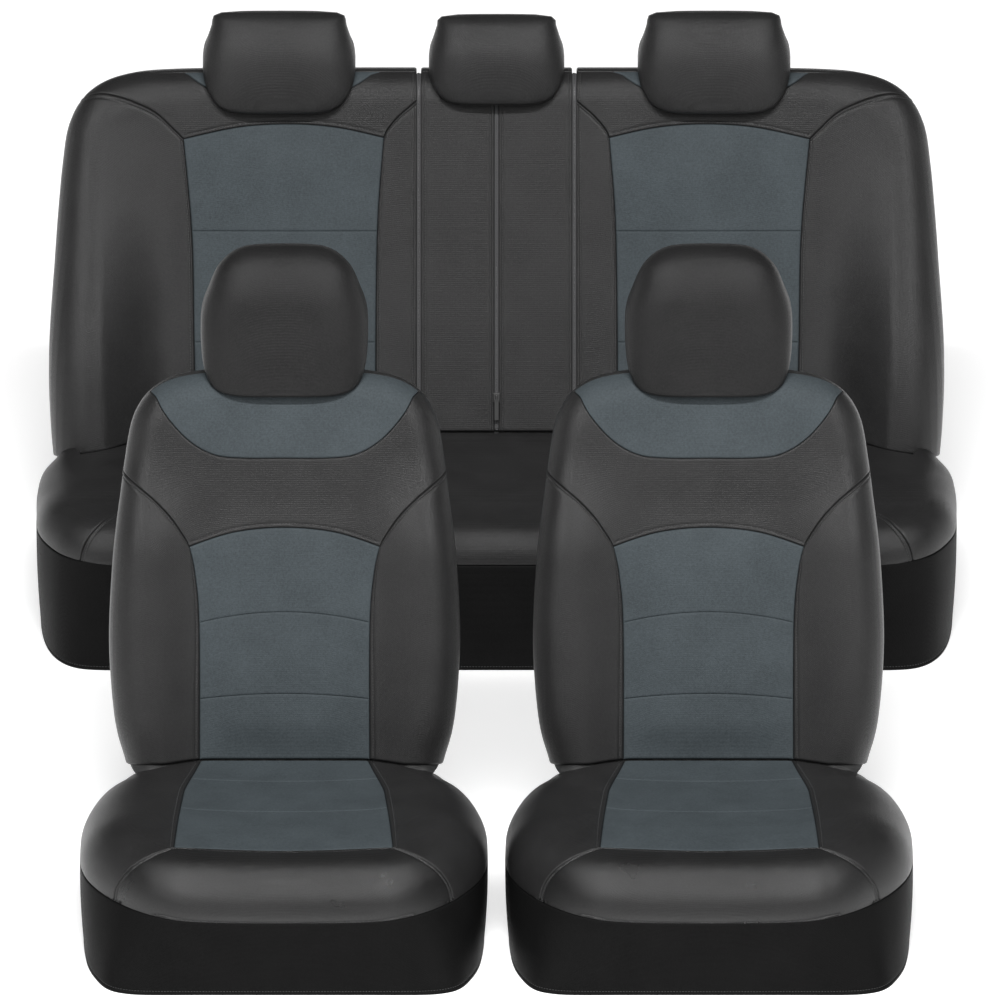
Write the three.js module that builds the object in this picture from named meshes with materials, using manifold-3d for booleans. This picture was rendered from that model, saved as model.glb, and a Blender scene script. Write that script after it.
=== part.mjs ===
// A seat cover set: two front seat covers with headrest covers, and a bench cover in three folding
// sections with its own headrest covers. Millimetres. X runs across, Y from front to back, Z up.
// Every cover is a thin sewn shell, open where the seat goes in. Each panel is a separate closed solid.
import * as THREE from 'three';
import Module from 'manifold-3d';
import { mergeVertices } from 'three/addons/utils/BufferGeometryUtils.js';

const wasm = await Module();
wasm.setup();

// Cloth
const CLOTH = 4;            // thickness of a padded panel
const SEAM_INSET = 3;       // each panel stops this far short of its seam
const ZIP_HALF = 3;         // half the space that a zipper takes between two panels

// Places on the floor
const FRONT_CENTRES = { front_left: -317, front_right: 317 };
const BENCH_FRONT = 1179;   // the bench's front hem, behind the front seats' front hem

// Front seat
const FRONT = {
  lean: 20,                 // backrest, degrees from upright
  creaseY: 498,             // from the front hem to the crease between cushion and backrest
  creaseZ: 160,
  seamZ: 113,               // seam between the cushion's top panels and its skirt
  noseRadius: 80,
  topZ: 193,                // top of the nose
  edgeRadius: 45,           // round between the backrest's front and its side wall
  wall: 34,                 // flat of the side wall
  backRadius: 26,           // round between the side wall and the back
  footGap: 5,               // between the backrest's lower edge and the cushion, along the lean
};

// Bench seat
const REAR = {
  lean: 22,
  creaseY: 473,
  creaseZ: 184,
  seamZ: 168,
  noseRadius: 52,
  topZ: 220,
  edgeRadius: 48,
  wall: 34,
  backRadius: 26,
  footGap: 8,
};
const ZIPPERS = [-118, 0, 118];   // where the bench backrest's zippers run

// Half outlines as (half width, distance from the crease), from the crease to the top or nose
const OUTLINES = {
  frontBack: [[218, -60], [233, 0], [249, 64], [257, 188], [249, 337], [240, 440], [222, 521], [176, 566],
    [90, 583], [0, 585]],
  frontSeat: [[228, -60], [245, 0], [280, 70], [299, 145], [304, 215], [301, 298], [281, 360], [240, 420],
    [192, 460], [130, 481], [0, 487]],
  frontHem: [[256, 20], [270, 80], [286, 160], [296, 250], [298, 313], [292, 395], [278, 447], [261, 479],
    [236, 493], [200, 498], [120, 498], [0, 498]],
  rearBack: [[636, -90], [645, 0], [650, 110], [652, 215], [654, 330], [652, 405], [643, 468], [614, 514],
    [563, 541], [490, 550], [300, 552], [0, 552]],
  rearSeat: [[646, -60], [662, 40], [687, 115], [695, 180], [696, 250], [693, 339], [670, 401],
    [641, 434], [600, 453], [545, 460], [470, 461], [340, 461], [160, 461], [0, 461]],
  rearHem: [[646, 20], [670, 90], [688, 200], [690, 263], [687, 339], [678, 398], [661, 440], [636, 465],
    [600, 473], [540, 473], [440, 473], [240, 473], [0, 473]],
};
const OUTLINE_STEPS = 240;
const SKIRT_START = 24;     // a skirt starts this far ahead of the crease
const SKIRT_BULGE = 2;

const COLOURS = {
  black: new THREE.Color(0.042, 0.042, 0.043),
  grey: new THREE.Color(0.08, 0.098, 0.108),
  webbing: new THREE.Color(0.02, 0.02, 0.02),
  plastic: new THREE.Color(0.015, 0.015, 0.016),
  zip: new THREE.Color(0.25, 0.25, 0.26),
};

const set = new THREE.Group();

function material(kind) {
  const roughness = { black: 0.55, grey: 0.6, webbing: 0.7, plastic: 0.4, zip: 0.45 }[kind];
  return new THREE.MeshStandardMaterial({ color: COLOURS[kind], roughness, metalness: 0 });
}

function addMesh(name, geometry, kind) {
  const mesh = new THREE.Mesh(geometry, material(kind));
  mesh.name = name;
  set.add(mesh);
}

// ---- curves ------------------------------------------------------------------------------------

const vec = (x, y) => new THREE.Vector2(x, y);
const smooth = (a, b, t) => THREE.MathUtils.smoothstep(t, a, b);
const quarter = (radius) => (radius * Math.PI) / 2;

// A smooth curve through hand-placed points, spaced evenly
function spline(points, steps) {
  return new THREE.SplineCurve(points.map(([x, y]) => vec(x, y))).getSpacedPoints(steps);
}

function mirrored(points) {
  return points.map(([x, y]) => [-x, y]);
}

// The whole outline, from the right of the crease over the top to the left of it
function fullOutline(half) {
  const right = half.slice(0, -1);
  return spline([...right, half.at(-1), ...mirrored(right).reverse()], OUTLINE_STEPS);
}

// Unit normals that point out of an outline which runs anticlockwise
function outwards(points) {
  return points.map((p, i) => {
    const before = points[Math.max(i - 1, 0)];
    const after = points[Math.min(i + 1, points.length - 1)];
    const along = after.clone().sub(before).normalize();
    return vec(along.y, -along.x);
  });
}

// ---- forms ---------------------------------------------------------------------------------------

// A slab with rounded edges: flat in front, rolling over `radius` into a side wall, then over
// `backRadius` into the back. A point of its unrolled cloth is (x, distance from the crease).
class Form {
  constructor({ outline, radius, wall, backRadius, relief, place }) {
    const edge = fullOutline(outline);
    const normals = outwards(edge);
    this.inner = edge.map((p, i) => p.clone().addScaledVector(normals[i], -radius));
    this.normals = normals;
    Object.assign(this, { radius, wall, backRadius, relief, place });
    this.backSeam = quarter(radius) + wall;
    const [o, a, b, c] = [place(0, 0, 0), place(1, 0, 0), place(0, 1, 0), place(0, 0, 1)];
    this.mirrored = a.sub(o).cross(b.sub(o)).dot(c.sub(o)) < 0;
  }

  // The nearest point of the inner outline, and how far outside it a point lies
  foot(point) {
    let best = null;
    for (let i = 0; i + 1 < this.inner.length; i += 1) {
      const a = this.inner[i];
      const side = this.inner[i + 1].clone().sub(a);
      const t = THREE.MathUtils.clamp(point.clone().sub(a).dot(side) / side.lengthSq(), 0, 1);
      const at = a.clone().addScaledVector(side, t);
      const distance = at.distanceTo(point);
      if (!best || distance < best.distance) {
        const normal = this.normals[i].clone().lerp(this.normals[i + 1], t).normalize();
        best = { at, distance, normal };
      }
    }
    best.outside = point.clone().sub(best.at).dot(best.normal) > 0;
    return best;
  }

  // A point seen from straight in front, laid out on the unrolled cloth
  unroll(point) {
    const foot = this.foot(point);
    if (!foot.outside) {
      return point;
    }
    const rolled = this.radius * Math.asin(Math.min(foot.distance / this.radius, 1));
    const away = point.clone().sub(foot.at).normalize();
    return foot.at.clone().addScaledVector(away, rolled);
  }

  // A point at `reach` along the cloth beyond the inner outline, `share` of the way round it
  rim(share, reach) {
    const at = share * (this.inner.length - 1);
    const i = Math.min(Math.floor(at), this.inner.length - 2);
    const point = this.inner[i].clone().lerp(this.inner[i + 1], at - i);
    const normal = this.normals[i].clone().lerp(this.normals[i + 1], at - i).normalize();
    return point.addScaledVector(normal, reach);
  }

  // Where a point of the cloth lies in space, sunk `depth` below its outer face
  lay(point, depth) {
    const foot = this.foot(point);
    const relief = this.relief(point.x, point.y);
    if (!foot.outside) {
      return this.place(point.x, point.y, relief - depth);
    }
    const away = foot.distance > 1e-6 ? point.clone().sub(foot.at).normalize() : foot.normal;
    const roll = Math.min(foot.distance / this.radius, Math.PI / 2);
    const past = foot.distance - quarter(this.radius);
    let out = this.radius * Math.sin(roll);
    let down = this.radius * (1 - Math.cos(roll));
    let tilt = roll;
    if (past > 0) {
      down += Math.min(past, this.wall);
    }
    if (past > this.wall) {
      const turn = Math.min((past - this.wall) / this.backRadius, Math.PI / 2);
      out -= this.backRadius * (1 - Math.cos(turn));
      down += this.backRadius * Math.sin(turn);
      tilt += turn;
    }
    const lift = relief * Math.max(Math.cos(roll), 0) - depth;
    const flat = foot.at.clone().addScaledVector(away, out + Math.sin(tilt) * lift);
    return this.place(flat.x, flat.y, Math.cos(tilt) * lift - down);
  }
}

// ---- solids --------------------------------------------------------------------------------------

// A closed solid between two grids of points, rows × columns, the first grid outermost
function slab(outer, inner) {
  const rows = outer.length;
  const columns = outer[0].length;
  const positions = [...outer.flat(), ...inner.flat()].flatMap((p) => [p.x, p.y, p.z]);
  const id = (layer, r, c) => layer * rows * columns + r * columns + c;
  const faces = [];
  const quad = (a, b, c, d) => faces.push(a, b, c, a, c, d);
  for (let r = 0; r + 1 < rows; r += 1) {
    for (let c = 0; c + 1 < columns; c += 1) {
      quad(id(0, r, c), id(0, r, c + 1), id(0, r + 1, c + 1), id(0, r + 1, c));
      quad(id(1, r, c), id(1, r + 1, c), id(1, r + 1, c + 1), id(1, r, c + 1));
    }
  }
  for (let c = 0; c + 1 < columns; c += 1) {
    quad(id(0, 0, c), id(1, 0, c), id(1, 0, c + 1), id(0, 0, c + 1));
    quad(id(0, rows - 1, c), id(0, rows - 1, c + 1), id(1, rows - 1, c + 1), id(1, rows - 1, c));
  }
  for (let r = 0; r + 1 < rows; r += 1) {
    quad(id(0, r, 0), id(0, r + 1, 0), id(1, r + 1, 0), id(1, r, 0));
    quad(id(0, r, columns - 1), id(1, r, columns - 1), id(1, r + 1, columns - 1), id(0, r + 1, columns - 1));
  }
  const geometry = new THREE.BufferGeometry();
  geometry.setAttribute('position', new THREE.Float32BufferAttribute(positions, 3));
  geometry.setIndex(faces);
  return geometry;
}

const lengthOf = (points) => points.slice(1).reduce((sum, p, i) => sum + p.distanceTo(points[i]), 0);

// The cloth between four seams, filled by a Coons patch. bottom and top run from left to right,
// left and right from bottom to top, and each is a list of points evenly spaced.
function patch({ bottom, top, left, right }, inset = SEAM_INSET) {
  const columns = bottom.length - 1;
  const rows = left.length - 1;
  const along = (points, t) => {
    const at = THREE.MathUtils.clamp(t, 0, 1) * (points.length - 1);
    const i = Math.min(Math.floor(at), points.length - 2);
    return points[i].clone().lerp(points[i + 1], at - i);
  };
  const shrink = (from, to, t) => {
    const cut = Math.min(inset / Math.max(from.distanceTo(to), 1), 0.3);
    return THREE.MathUtils.lerp(cut, 1 - cut, t);
  };
  const grid = [];
  for (let r = 0; r <= rows; r += 1) {
    const line = [];
    for (let c = 0; c <= columns; c += 1) {
      const u = shrink(along(left, r / rows), along(right, r / rows), c / columns);
      const v = shrink(along(bottom, u), along(top, u), r / rows);
      const point = along(bottom, u).multiplyScalar(1 - v);
      point.addScaledVector(along(top, u), v);
      point.addScaledVector(along(left, v), 1 - u);
      point.addScaledVector(along(right, v), u);
      point.addScaledVector(bottom[0], -(1 - u) * (1 - v));
      point.addScaledVector(bottom.at(-1), -u * (1 - v));
      point.addScaledVector(top[0], -(1 - u) * v);
      point.addScaledVector(top.at(-1), -u * v);
      line.push(point);
    }
    grid.push(line);
  }
  return grid;
}

function panel(name, form, seams, kind, inset) {
  const grid = patch(seams, inset);
  if (form.mirrored) {
    grid.forEach((line) => line.reverse());
  }
  const at = (depth) => grid.map((line) => line.map((point) => form.lay(point, depth)));
  addMesh(name, slab(at(0), at(CLOTH)), kind);
}

// Seams given as seen from in front, on either side of the middle
function seam(form, points, steps, side = 1) {
  return spline(points, steps).map((p) => form.unroll(vec(side * p.x, p.y)));
}

const reversed = (points) => [...points].reverse();

// The four seams of a panel on the right, or of its mirror image on the left
function sided(side, { bottom, top, left, right }) {
  if (side > 0) {
    return { bottom, top, left, right };
  }
  return { bottom: reversed(bottom), top: reversed(top), left: right, right: left };
}

// ---- placing -------------------------------------------------------------------------------------

// Backrest coordinates to space: across, up along the lean, and out of the front face
function backrestPlace(centre, front, size) {
  const lean = THREE.MathUtils.degToRad(size.lean);
  const [s, c] = [Math.sin(lean), Math.cos(lean)];
  const y0 = front + size.creaseY;
  const z0 = size.creaseZ;
  return (x, up, out) => new THREE.Vector3(centre + x, y0 + up * s - out * c, z0 + up * c + out * s);
}

// Cushion coordinates to space: across, forwards from the crease, and up from the nose's top
function cushionPlace(centre, front, size) {
  return (x, ahead, up) => new THREE.Vector3(centre + x, front + size.creaseY - ahead, size.topZ + up);
}

// The skirt, from the seam round the cushion's top down to the hem on the floor
function skirt(name, form, hemOutline, size, place, steps) {
  const first = shareWhere(form, (p) => p.y > SKIRT_START);
  const hem = fullOutline(hemOutline);
  const rows = 2;
  const grid = (depth) => {
    const lines = [];
    for (let r = 0; r <= rows; r += 1) {
      const v = r / rows;
      const line = [];
      for (let c = 0; c <= steps; c += 1) {
        const t = 1 - c / steps;
        const share = THREE.MathUtils.lerp(first, 1 - first, t);
        const normal = form.rim(share, 1).sub(form.rim(share, 0));
        const low = hem[Math.round(t * (hem.length - 1))].clone().addScaledVector(normal, -depth);
        const flat = low.lerp(form.rim(share, form.radius - depth), v);
        flat.addScaledVector(normal, SKIRT_BULGE * Math.sin(Math.PI * v));
        const z = THREE.MathUtils.lerp(0, size.seamZ - SEAM_INSET, v);
        line.push(place(flat.x, flat.y, z - size.topZ));
      }
      lines.push(line);
    }
    return lines;
  };
  addMesh(name, slab(grid(0), grid(CLOTH)), 'black');
}

// ---- headrest covers -----------------------------------------------------------------------------

// A bag that is open underneath: rings of a squared oval as (share of the width, share of the depth,
// share of the height), from the hem up to the crown
const BAG_RINGS = {
  front: [[0.58, 0.42, 0.035], [0.88, 0.84, 0], [0.97, 0.97, 0.06], [1, 1, 0.25], [0.99, 1, 0.48],
    [0.91, 0.94, 0.68], [0.79, 0.78, 0.86], [0.5, 0.42, 0.98]],
  rear: [[0.58, 0.42, 0.035], [0.86, 0.82, 0], [0.96, 0.97, 0.08], [1, 1, 0.22], [0.985, 1, 0.42],
    [0.94, 0.95, 0.68], [0.885, 0.8, 0.86], [0.77, 0.5, 0.98]],
};

// The hem hangs lowest at the front, in front of the backrest, and clears the backrest's top at the
// sides and behind. `lift` is how much higher it is at the sides.
function headrestCover(name, place, rings, { halfWidth, halfDepth, low, high, ahead, lift }) {
  const around = 12;
  const squareness = 2 / 2.7;
  const power = (value) => Math.sign(value) * Math.abs(value) ** squareness;
  const grid = (depth) => rings.map(([wide, deep, up]) => {
    const ring = [];
    for (let k = 0; k <= around; k += 1) {
      const turn = (2 * Math.PI * (k % around)) / around;
      const x = (halfWidth - depth) * wide * power(Math.cos(turn));
      const out = (halfDepth - depth) * deep * power(Math.sin(turn));
      const height = low + depth + (high - low - 2 * depth) * up;
      const rise = 2 * lift * (1 - smooth(-1, 1, out / halfDepth)) * Math.max(1 - up * 1.25, 0);
      ring.push(place(x, height + rise, ahead + out));
    }
    return ring;
  });
  addMesh(name, bag(grid(0), grid(CLOTH)), 'black');
}

// A closed solid from two stacks of rings, joined at the hem and each closed by its crown
function bag(outer, inner) {
  const around = outer[0].length - 1;
  const positions = [];
  const push = (p) => positions.push(p.x, p.y, p.z) / 3 - 1;
  const faces = [];
  const layers = [outer, inner].map((rings) => {
    const ids = rings.map((ring) => ring.slice(0, around).map(push));
    const crown = new THREE.Vector3();
    rings.at(-1).slice(0, around).forEach((p) => crown.addScaledVector(p, 1 / around));
    return { ids, crown: push(crown) };
  });
  layers.forEach(({ ids, crown }, layer) => {
    const turn = (a, b, c) => (layer ? faces.push(a, c, b) : faces.push(a, b, c));
    for (let k = 0; k < around; k += 1) {
      const next = (k + 1) % around;
      for (let r = 0; r + 1 < ids.length; r += 1) {
        turn(ids[r][k], ids[r + 1][k], ids[r + 1][next]);
        turn(ids[r][k], ids[r + 1][next], ids[r][next]);
      }
      turn(ids.at(-1)[k], crown, ids.at(-1)[next]);
    }
  });
  const [low, high] = layers.map(({ ids }) => ids[0]);
  for (let k = 0; k < around; k += 1) {
    const next = (k + 1) % around;
    faces.push(low[k], low[next], high[next], low[k], high[next], high[k]);
  }
  const geometry = new THREE.BufferGeometry();
  geometry.setAttribute('position', new THREE.Float32BufferAttribute(positions, 3));
  geometry.setIndex(faces);
  return geometry;
}

// ---- seams along an outline ----------------------------------------------------------------------

// How far round the outline, from its right end, the first point that passes a test is
function shareWhere(form, test) {
  return form.inner.findIndex(test) / (form.inner.length - 1);
}

const shareOn = (side, share) => (side > 0 ? share : 1 - share);

// A line along the outline between two shares of it, with its reach changing evenly
function rimLine(form, from, to, reach, steps, reachAtEnd = reach) {
  const points = [];
  for (let i = 0; i <= steps; i += 1) {
    const t = i / steps;
    points.push(form.rim(THREE.MathUtils.lerp(from, to, t), THREE.MathUtils.lerp(reach, reachAtEnd, t)));
  }
  return points;
}

// Points spread evenly along curves joined end to end
function chain(curves, steps) {
  const points = curves.flat();
  const total = lengthOf(points);
  const spaced = [];
  let walked = 0;
  let i = 0;
  for (let k = 0; k <= steps; k += 1) {
    const target = (total * k) / steps;
    while (i + 2 < points.length && walked + points[i].distanceTo(points[i + 1]) < target) {
      walked += points[i].distanceTo(points[i + 1]);
      i += 1;
    }
    const t = (target - walked) / Math.max(points[i].distanceTo(points[i + 1]), 1e-6);
    spaced.push(points[i].clone().lerp(points[i + 1], THREE.MathUtils.clamp(t, 0, 1)));
  }
  return spaced;
}

// A backrest panel's lower edge keeps level where the bolsters stand out
function backrestFoot(form, size, x) {
  const slope = Math.tan(THREE.MathUtils.degToRad(size.lean));
  return form.unroll(vec(x, size.footGap - slope * form.relief(x, 0)));
}

// A cushion's rear edge keeps just ahead of the backrest's face
function cushionRear(form, back, size, x) {
  const slope = Math.cos(THREE.MathUtils.degToRad(size.lean));
  return form.unroll(vec(x, REAR_EDGE_GAP + back.relief(x, 0) / slope));
}

// Points on an edge that is given by a function of x
function edgeLine(edge, x0, x1, steps) {
  return Array.from({ length: steps + 1 }, (_, i) => edge(THREE.MathUtils.lerp(x0, x1, i / steps)));
}

// The form of a backrest seen from behind, which shares its outline with the front
function behind(form, outline, place) {
  const depth = form.radius + form.wall + form.backRadius;
  return new Form({
    outline,
    radius: form.backRadius,
    wall: form.wall,
    backRadius: form.radius,
    relief: () => 0,
    place: (x, up, out) => place(-x, up, -depth - out),
  });
}

// ---- front seats ---------------------------------------------------------------------------------

const FRONT_BOLSTER = 26;      // how far the backrest's bolsters stand out
const REAR_EDGE_GAP = 1.5;     // between a cushion's rear edge and the backrest's face, less the inset
const RIDGE = 0.72;            // the top seam lies this share of the way over the round
const BACK_INSET = 9;         // the back panels stop further short of their seams
const YOKE_TIP = 0.96;         // and at the yoke's ends
const BACK_HEM = 230;          // lower edge of the back panels, above the crease

const FRONT_SEAMS = {
  insertSide: [[127, 0], [127.5, 200], [134, 280], [142.5, 319.5]],
  arch: [[-142.5, 319.5], [-75, 341], [0, 348], [75, 341], [142.5, 319.5]],
  shoulder: [[142.5, 319.5], [148, 331], [172, 366], [206, 400], [241, 429]],
  yoke: [[195, 549], [178, 517], [144, 479], [105, 457], [60, 452], [0, 452]],
  seatInsertSide: [[125, 0], [146, 110], [152, 180], [163, 389]],
  seatInsertNose: [[-163, 389], [0, 401], [163, 389]],
  seatCorner: [[163, 389], [186, 398], [210, 403], [238, 405], [262, 405]],
};

function frontBackRelief(x, up) {
  const bolster = FRONT_BOLSTER * smooth(110, 215, Math.abs(x)) * (1 - smooth(300, 470, up));
  const crown = 8 * (1 - smooth(60, 140, Math.abs(x))) * smooth(0, 60, up) * (1 - smooth(280, 400, up));
  return bolster + crown;
}

function frontBack(name, place) {
  const outline = OUTLINES.frontBack;
  const form = new Form({ ...FRONT, radius: FRONT.edgeRadius, outline, relief: frontBackRelief, place });
  const { backSeam } = form;
  const round = quarter(form.radius);
  const shoulder = shareWhere(form, (p) => p.y > 436);
  const corner = shareWhere(form, (p) => p.y > 503);
  const yokeCorner = shareWhere(form, (p) => p.y > 516);
  const foot = shareWhere(form, (p) => p.y > -12);
  const footEdge = (x) => backrestFoot(form, FRONT, x);
  const sideSeam = (side) => [
    footEdge(side * 127), ...seam(form, FRONT_SEAMS.insertSide, 7, side).slice(1)];

  panel(`${name}_back_insert`, form, {
    bottom: edgeLine(footEdge, -127, 127, 6),
    top: seam(form, FRONT_SEAMS.arch, 6),
    left: sideSeam(-1),
    right: sideSeam(1),
  }, 'grey');

  const shoulderSeam = (side, steps) => chain([
    seam(form, FRONT_SEAMS.shoulder, 12, side), [form.rim(shareOn(side, shoulder), backSeam)]], steps);
  for (const side of [-1, 1]) {
    const edge = rimLine(form, shareOn(side, foot), shareOn(side, shoulder), backSeam, 7);
    panel(`${name}_back_bolster_${side > 0 ? 'right' : 'left'}`, form, sided(side, {
      bottom: chain([edgeLine(footEdge, side * 127, side * 222, 6), [edge[0]]], 8),
      top: shoulderSeam(side, 8),
      left: sideSeam(side),
      right: edge,
    }), 'black');
  }

  // The yoke narrows to a point at each top corner, and the chest and the back meet beyond it
  const tip = round * YOKE_TIP;
  const ridge = (side) => rimLine(form, shareOn(side, yokeCorner), 0.5, tip, 8, round * RIDGE);
  const yokeHalf = (side) => [ridge(side)[0], ...seam(form, FRONT_SEAMS.yoke, 12, side).slice(1)];
  const yokeLow = [...yokeHalf(-1), ...reversed(yokeHalf(1))];
  const cornerEdge = (side) => (
    rimLine(form, shareOn(side, corner), shareOn(side, yokeCorner), backSeam, 4, tip));
  const chestSide = (side) => rimLine(form, shareOn(side, shoulder), shareOn(side, corner), backSeam, 4);
  panel(`${name}_back_chest`, form, {
    bottom: chain([
      reversed(shoulderSeam(-1, 12)), seam(form, FRONT_SEAMS.arch, 12), shoulderSeam(1, 12)], 20),
    top: chain([cornerEdge(-1), yokeLow, reversed(cornerEdge(1))], 20),
    left: chestSide(-1),
    right: chestSide(1),
  }, 'black');
  panel(`${name}_back_yoke`, form, {
    bottom: chain([yokeLow], 12),
    top: chain([ridge(-1), reversed(ridge(1))], 12),
    left: Array(4).fill(ridge(-1)[0]),
    right: Array(4).fill(ridge(1)[0]),
  }, 'grey');

  const rear = behind(form, outline, place);
  const turn = quarter(rear.radius);
  const hem = shareWhere(rear, (p) => p.y > BACK_HEM);
  const low = turn + rear.wall + round - tip;
  const high = turn + rear.wall + round * (1 - RIDGE);
  const sideEdge = (side) => rimLine(rear, shareOn(side, hem), shareOn(side, corner), turn, 5);
  const topHalf = (side) => [
    ...rimLine(rear, shareOn(side, corner), shareOn(side, yokeCorner), turn, 4, low),
    ...rimLine(rear, shareOn(side, yokeCorner), 0.5, low, 8, high)];
  panel(`${name}_back_panel`, rear, {
    bottom: chain([[sideEdge(-1)[0]], spline([[-170, BACK_HEM], [0, BACK_HEM + 34], [170, BACK_HEM]], 8),
      [sideEdge(1)[0]]], 10),
    top: chain([topHalf(-1), reversed(topHalf(1))], 10),
    left: sideEdge(-1),
    right: sideEdge(1),
  }, 'black', BACK_INSET);
  return form;
}

function frontSeatRelief(x, ahead) {
  const drop = (FRONT.topZ - FRONT.creaseZ) * (1 - smooth(0, 380, ahead));
  const bolster = 7 * smooth(120, 220, Math.abs(x)) * smooth(0, 90, ahead) * (1 - smooth(260, 390, ahead));
  return bolster - drop;
}

function frontSeat(name, place, back) {
  const outline = OUTLINES.frontSeat;
  const form = new Form({
    outline, radius: FRONT.noseRadius, wall: 0, backRadius: 1, relief: frontSeatRelief, place,
  });
  const round = quarter(form.radius);
  const rearEdge = (x) => cushionRear(form, back, FRONT, x);
  const cornerShare = shareWhere(form, (p) => p.x < 201 && p.y > 200);
  const rearShare = shareWhere(form, (p) => p.y > SKIRT_START);
  const sideSeam = (side) => [rearEdge(side * 125),
    ...seam(form, FRONT_SEAMS.seatInsertSide, 7, side).slice(1)];
  const cornerSeam = (side, steps) => chain([
    seam(form, FRONT_SEAMS.seatCorner, 8, side).slice(0, -1),
    [form.rim(shareOn(side, cornerShare), round)]], steps);
  panel(`${name}_seat_insert`, form, {
    bottom: edgeLine(rearEdge, -125, 125, 6),
    top: seam(form, FRONT_SEAMS.seatInsertNose, 6),
    left: sideSeam(-1),
    right: sideSeam(1),
  }, 'grey');
  for (const side of [-1, 1]) {
    const edge = rimLine(form, shareOn(side, rearShare), shareOn(side, cornerShare), round, 8);
    panel(`${name}_seat_bolster_${side > 0 ? 'right' : 'left'}`, form, sided(side, {
      bottom: chain([edgeLine(rearEdge, side * 125, side * 212, 6), [edge[0]]], 6),
      top: cornerSeam(side, 6),
      left: sideSeam(side),
      right: edge,
    }), 'black');
  }
  panel(`${name}_seat_nose`, form, {
    bottom: seam(form, FRONT_SEAMS.seatInsertNose, 10),
    top: rimLine(form, 1 - cornerShare, cornerShare, round, 10),
    left: cornerSeam(-1, 5),
    right: cornerSeam(1, 5),
  }, 'black');
  skirt(`${name}_seat_skirt`, form, OUTLINES.frontHem, FRONT, place, 20);
  return form;
}

// A tuck flap, pushed through the crease and down behind the cushion
function tuckFlap(name, place, size) {
  const half = 190;
  const [top, foot] = [size.creaseZ - size.topZ - 12, 60 - size.topZ];
  const grid = (depth) => [foot, (foot + top) / 2, top].map((up, r) => (
    [-1, -0.33, 0.33, 1].map((t) => place(t * (half - 25 * (1 - r / 2)), 4 * r - 4 - depth, up))));
  addMesh(name, slab(grid(0), grid(CLOTH / 2)), 'webbing');
}

// ---- straps and buckles --------------------------------------------------------------------------

const STRAP = { up: 130, half: 13, thick: 2, end: 222, depth: 104 };
const BUCKLE = {
  half: 18,                 // half its width
  deep: 5.5,                // half its thickness
  mouth: -6,                // where the socket opens
  back: -46,                // where the socket ends
  floor: 8,                 // solid at the socket's end, which holds the strap
  wall: 2.5,
  tongue: 24,               // how far the clip's prongs go in
  guideLength: 18,
  prong: 5,
  flat: 2.2,                // half the prongs' thickness
  play: 0.8,
  grip: 16,                 // length of the clip's block
};

// A closed block in backrest coordinates, as a solid that can be joined and cut
function block(place, low, high) {
  const geometry = new THREE.BoxGeometry(1, 1, 1);
  geometry.deleteAttribute('normal');
  geometry.deleteAttribute('uv');
  const merged = mergeVertices(geometry);
  const corners = merged.attributes.position;
  const placed = [];
  for (let i = 0; i < corners.count; i += 1) {
    const at = [corners.getX(i), corners.getY(i), corners.getZ(i)].map((t, k) => (
      THREE.MathUtils.lerp(low[k], high[k], t + 0.5)));
    const p = place(...at);
    placed.push(p.x, p.y, p.z);
  }
  return new wasm.Manifold(new wasm.Mesh({
    numProp: 3,
    vertProperties: new Float32Array(placed),
    triVerts: new Uint32Array(merged.index.array),
  }));
}

function fromSolid(solid) {
  const mesh = solid.getMesh();
  const geometry = new THREE.BufferGeometry();
  geometry.setAttribute('position', new THREE.BufferAttribute(mesh.vertProperties, 3));
  geometry.setIndex(new THREE.BufferAttribute(mesh.triVerts, 1));
  return geometry;
}

// Two strap halves across the open lower back, which meet in a side-release buckle
function backStrap(name, place) {
  const { up, half, thick, end, depth } = STRAP;
  const { wall, mouth, back, tongue, play, deep, floor, prong, guideLength, flat, grip } = BUCKLE;
  // A block centred on the strap, between two places across and two up
  const centred = (x0, x1, low, high, deep) => block(place,
    [x0, up + low, -depth - thick / 2 - deep], [x1, up + high, -depth - thick / 2 + deep]);
  const band = (x0, x1) => centred(x0, x1, -half, half, thick / 2);
  const wide = BUCKLE.half;
  const shell = centred(back, mouth, -wide, wide, deep);
  const cavity = centred(back + floor, mouth + 1, wall - wide, wide - wall, deep - wall);
  const socket = shell.subtract(cavity).add(band(-end, back + floor / 2));
  addMesh(`${name}_strap_socket`, fromSolid(socket), 'plastic');
  const reach = wide - wall - play;
  const prongs = centred(mouth - tongue, mouth + 4, reach - prong, reach, flat)
    .add(centred(mouth - tongue, mouth + 4, -reach, prong - reach, flat));
  const guide = centred(mouth - guideLength, mouth + 4, -prong / 2, prong / 2, flat);
  const base = centred(mouth + 1, mouth + grip, -wide, wide, deep);
  const clip = base.add(prongs).add(guide).add(band(mouth + grip - 2, end));
  addMesh(`${name}_strap_clip`, fromSolid(clip), 'plastic');
}

// ---- bench ---------------------------------------------------------------------------------------

const REAR_BOLSTER = 84;
const ZIP_EDGE = ZIPPERS[2] + ZIP_HALF;
const CHAIN_HALF = 4.5;

const REAR_SEAMS = {
  insertInner: [[184, 0], [183, 200], [180, 330], [171, 447]],
  insertOuter: [[456, 0], [459, 150], [462, 300], [475, 445]],
  arch: [[171, 447], [240, 462], [311, 467.5], [390, 463], [475, 445]],
  inner: [[ZIP_EDGE, 503], [147, 481], [165, 460], [171, 447]],
  outer: [[475, 445], [490, 460], [517, 485], [551, 501], [586, 507], [612, 504]],
  yoke: [[183, 549], [235, 518], [330, 506], [425, 518], [475, 549]],
  seatInsertInner: [[150, 0], [154, 370]],
  seatInsertOuter: [[456, 0], [462, 200], [474, 368]],
  seatInsertNose: [[154, 370], [310, 370], [474, 368]],
};

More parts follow.
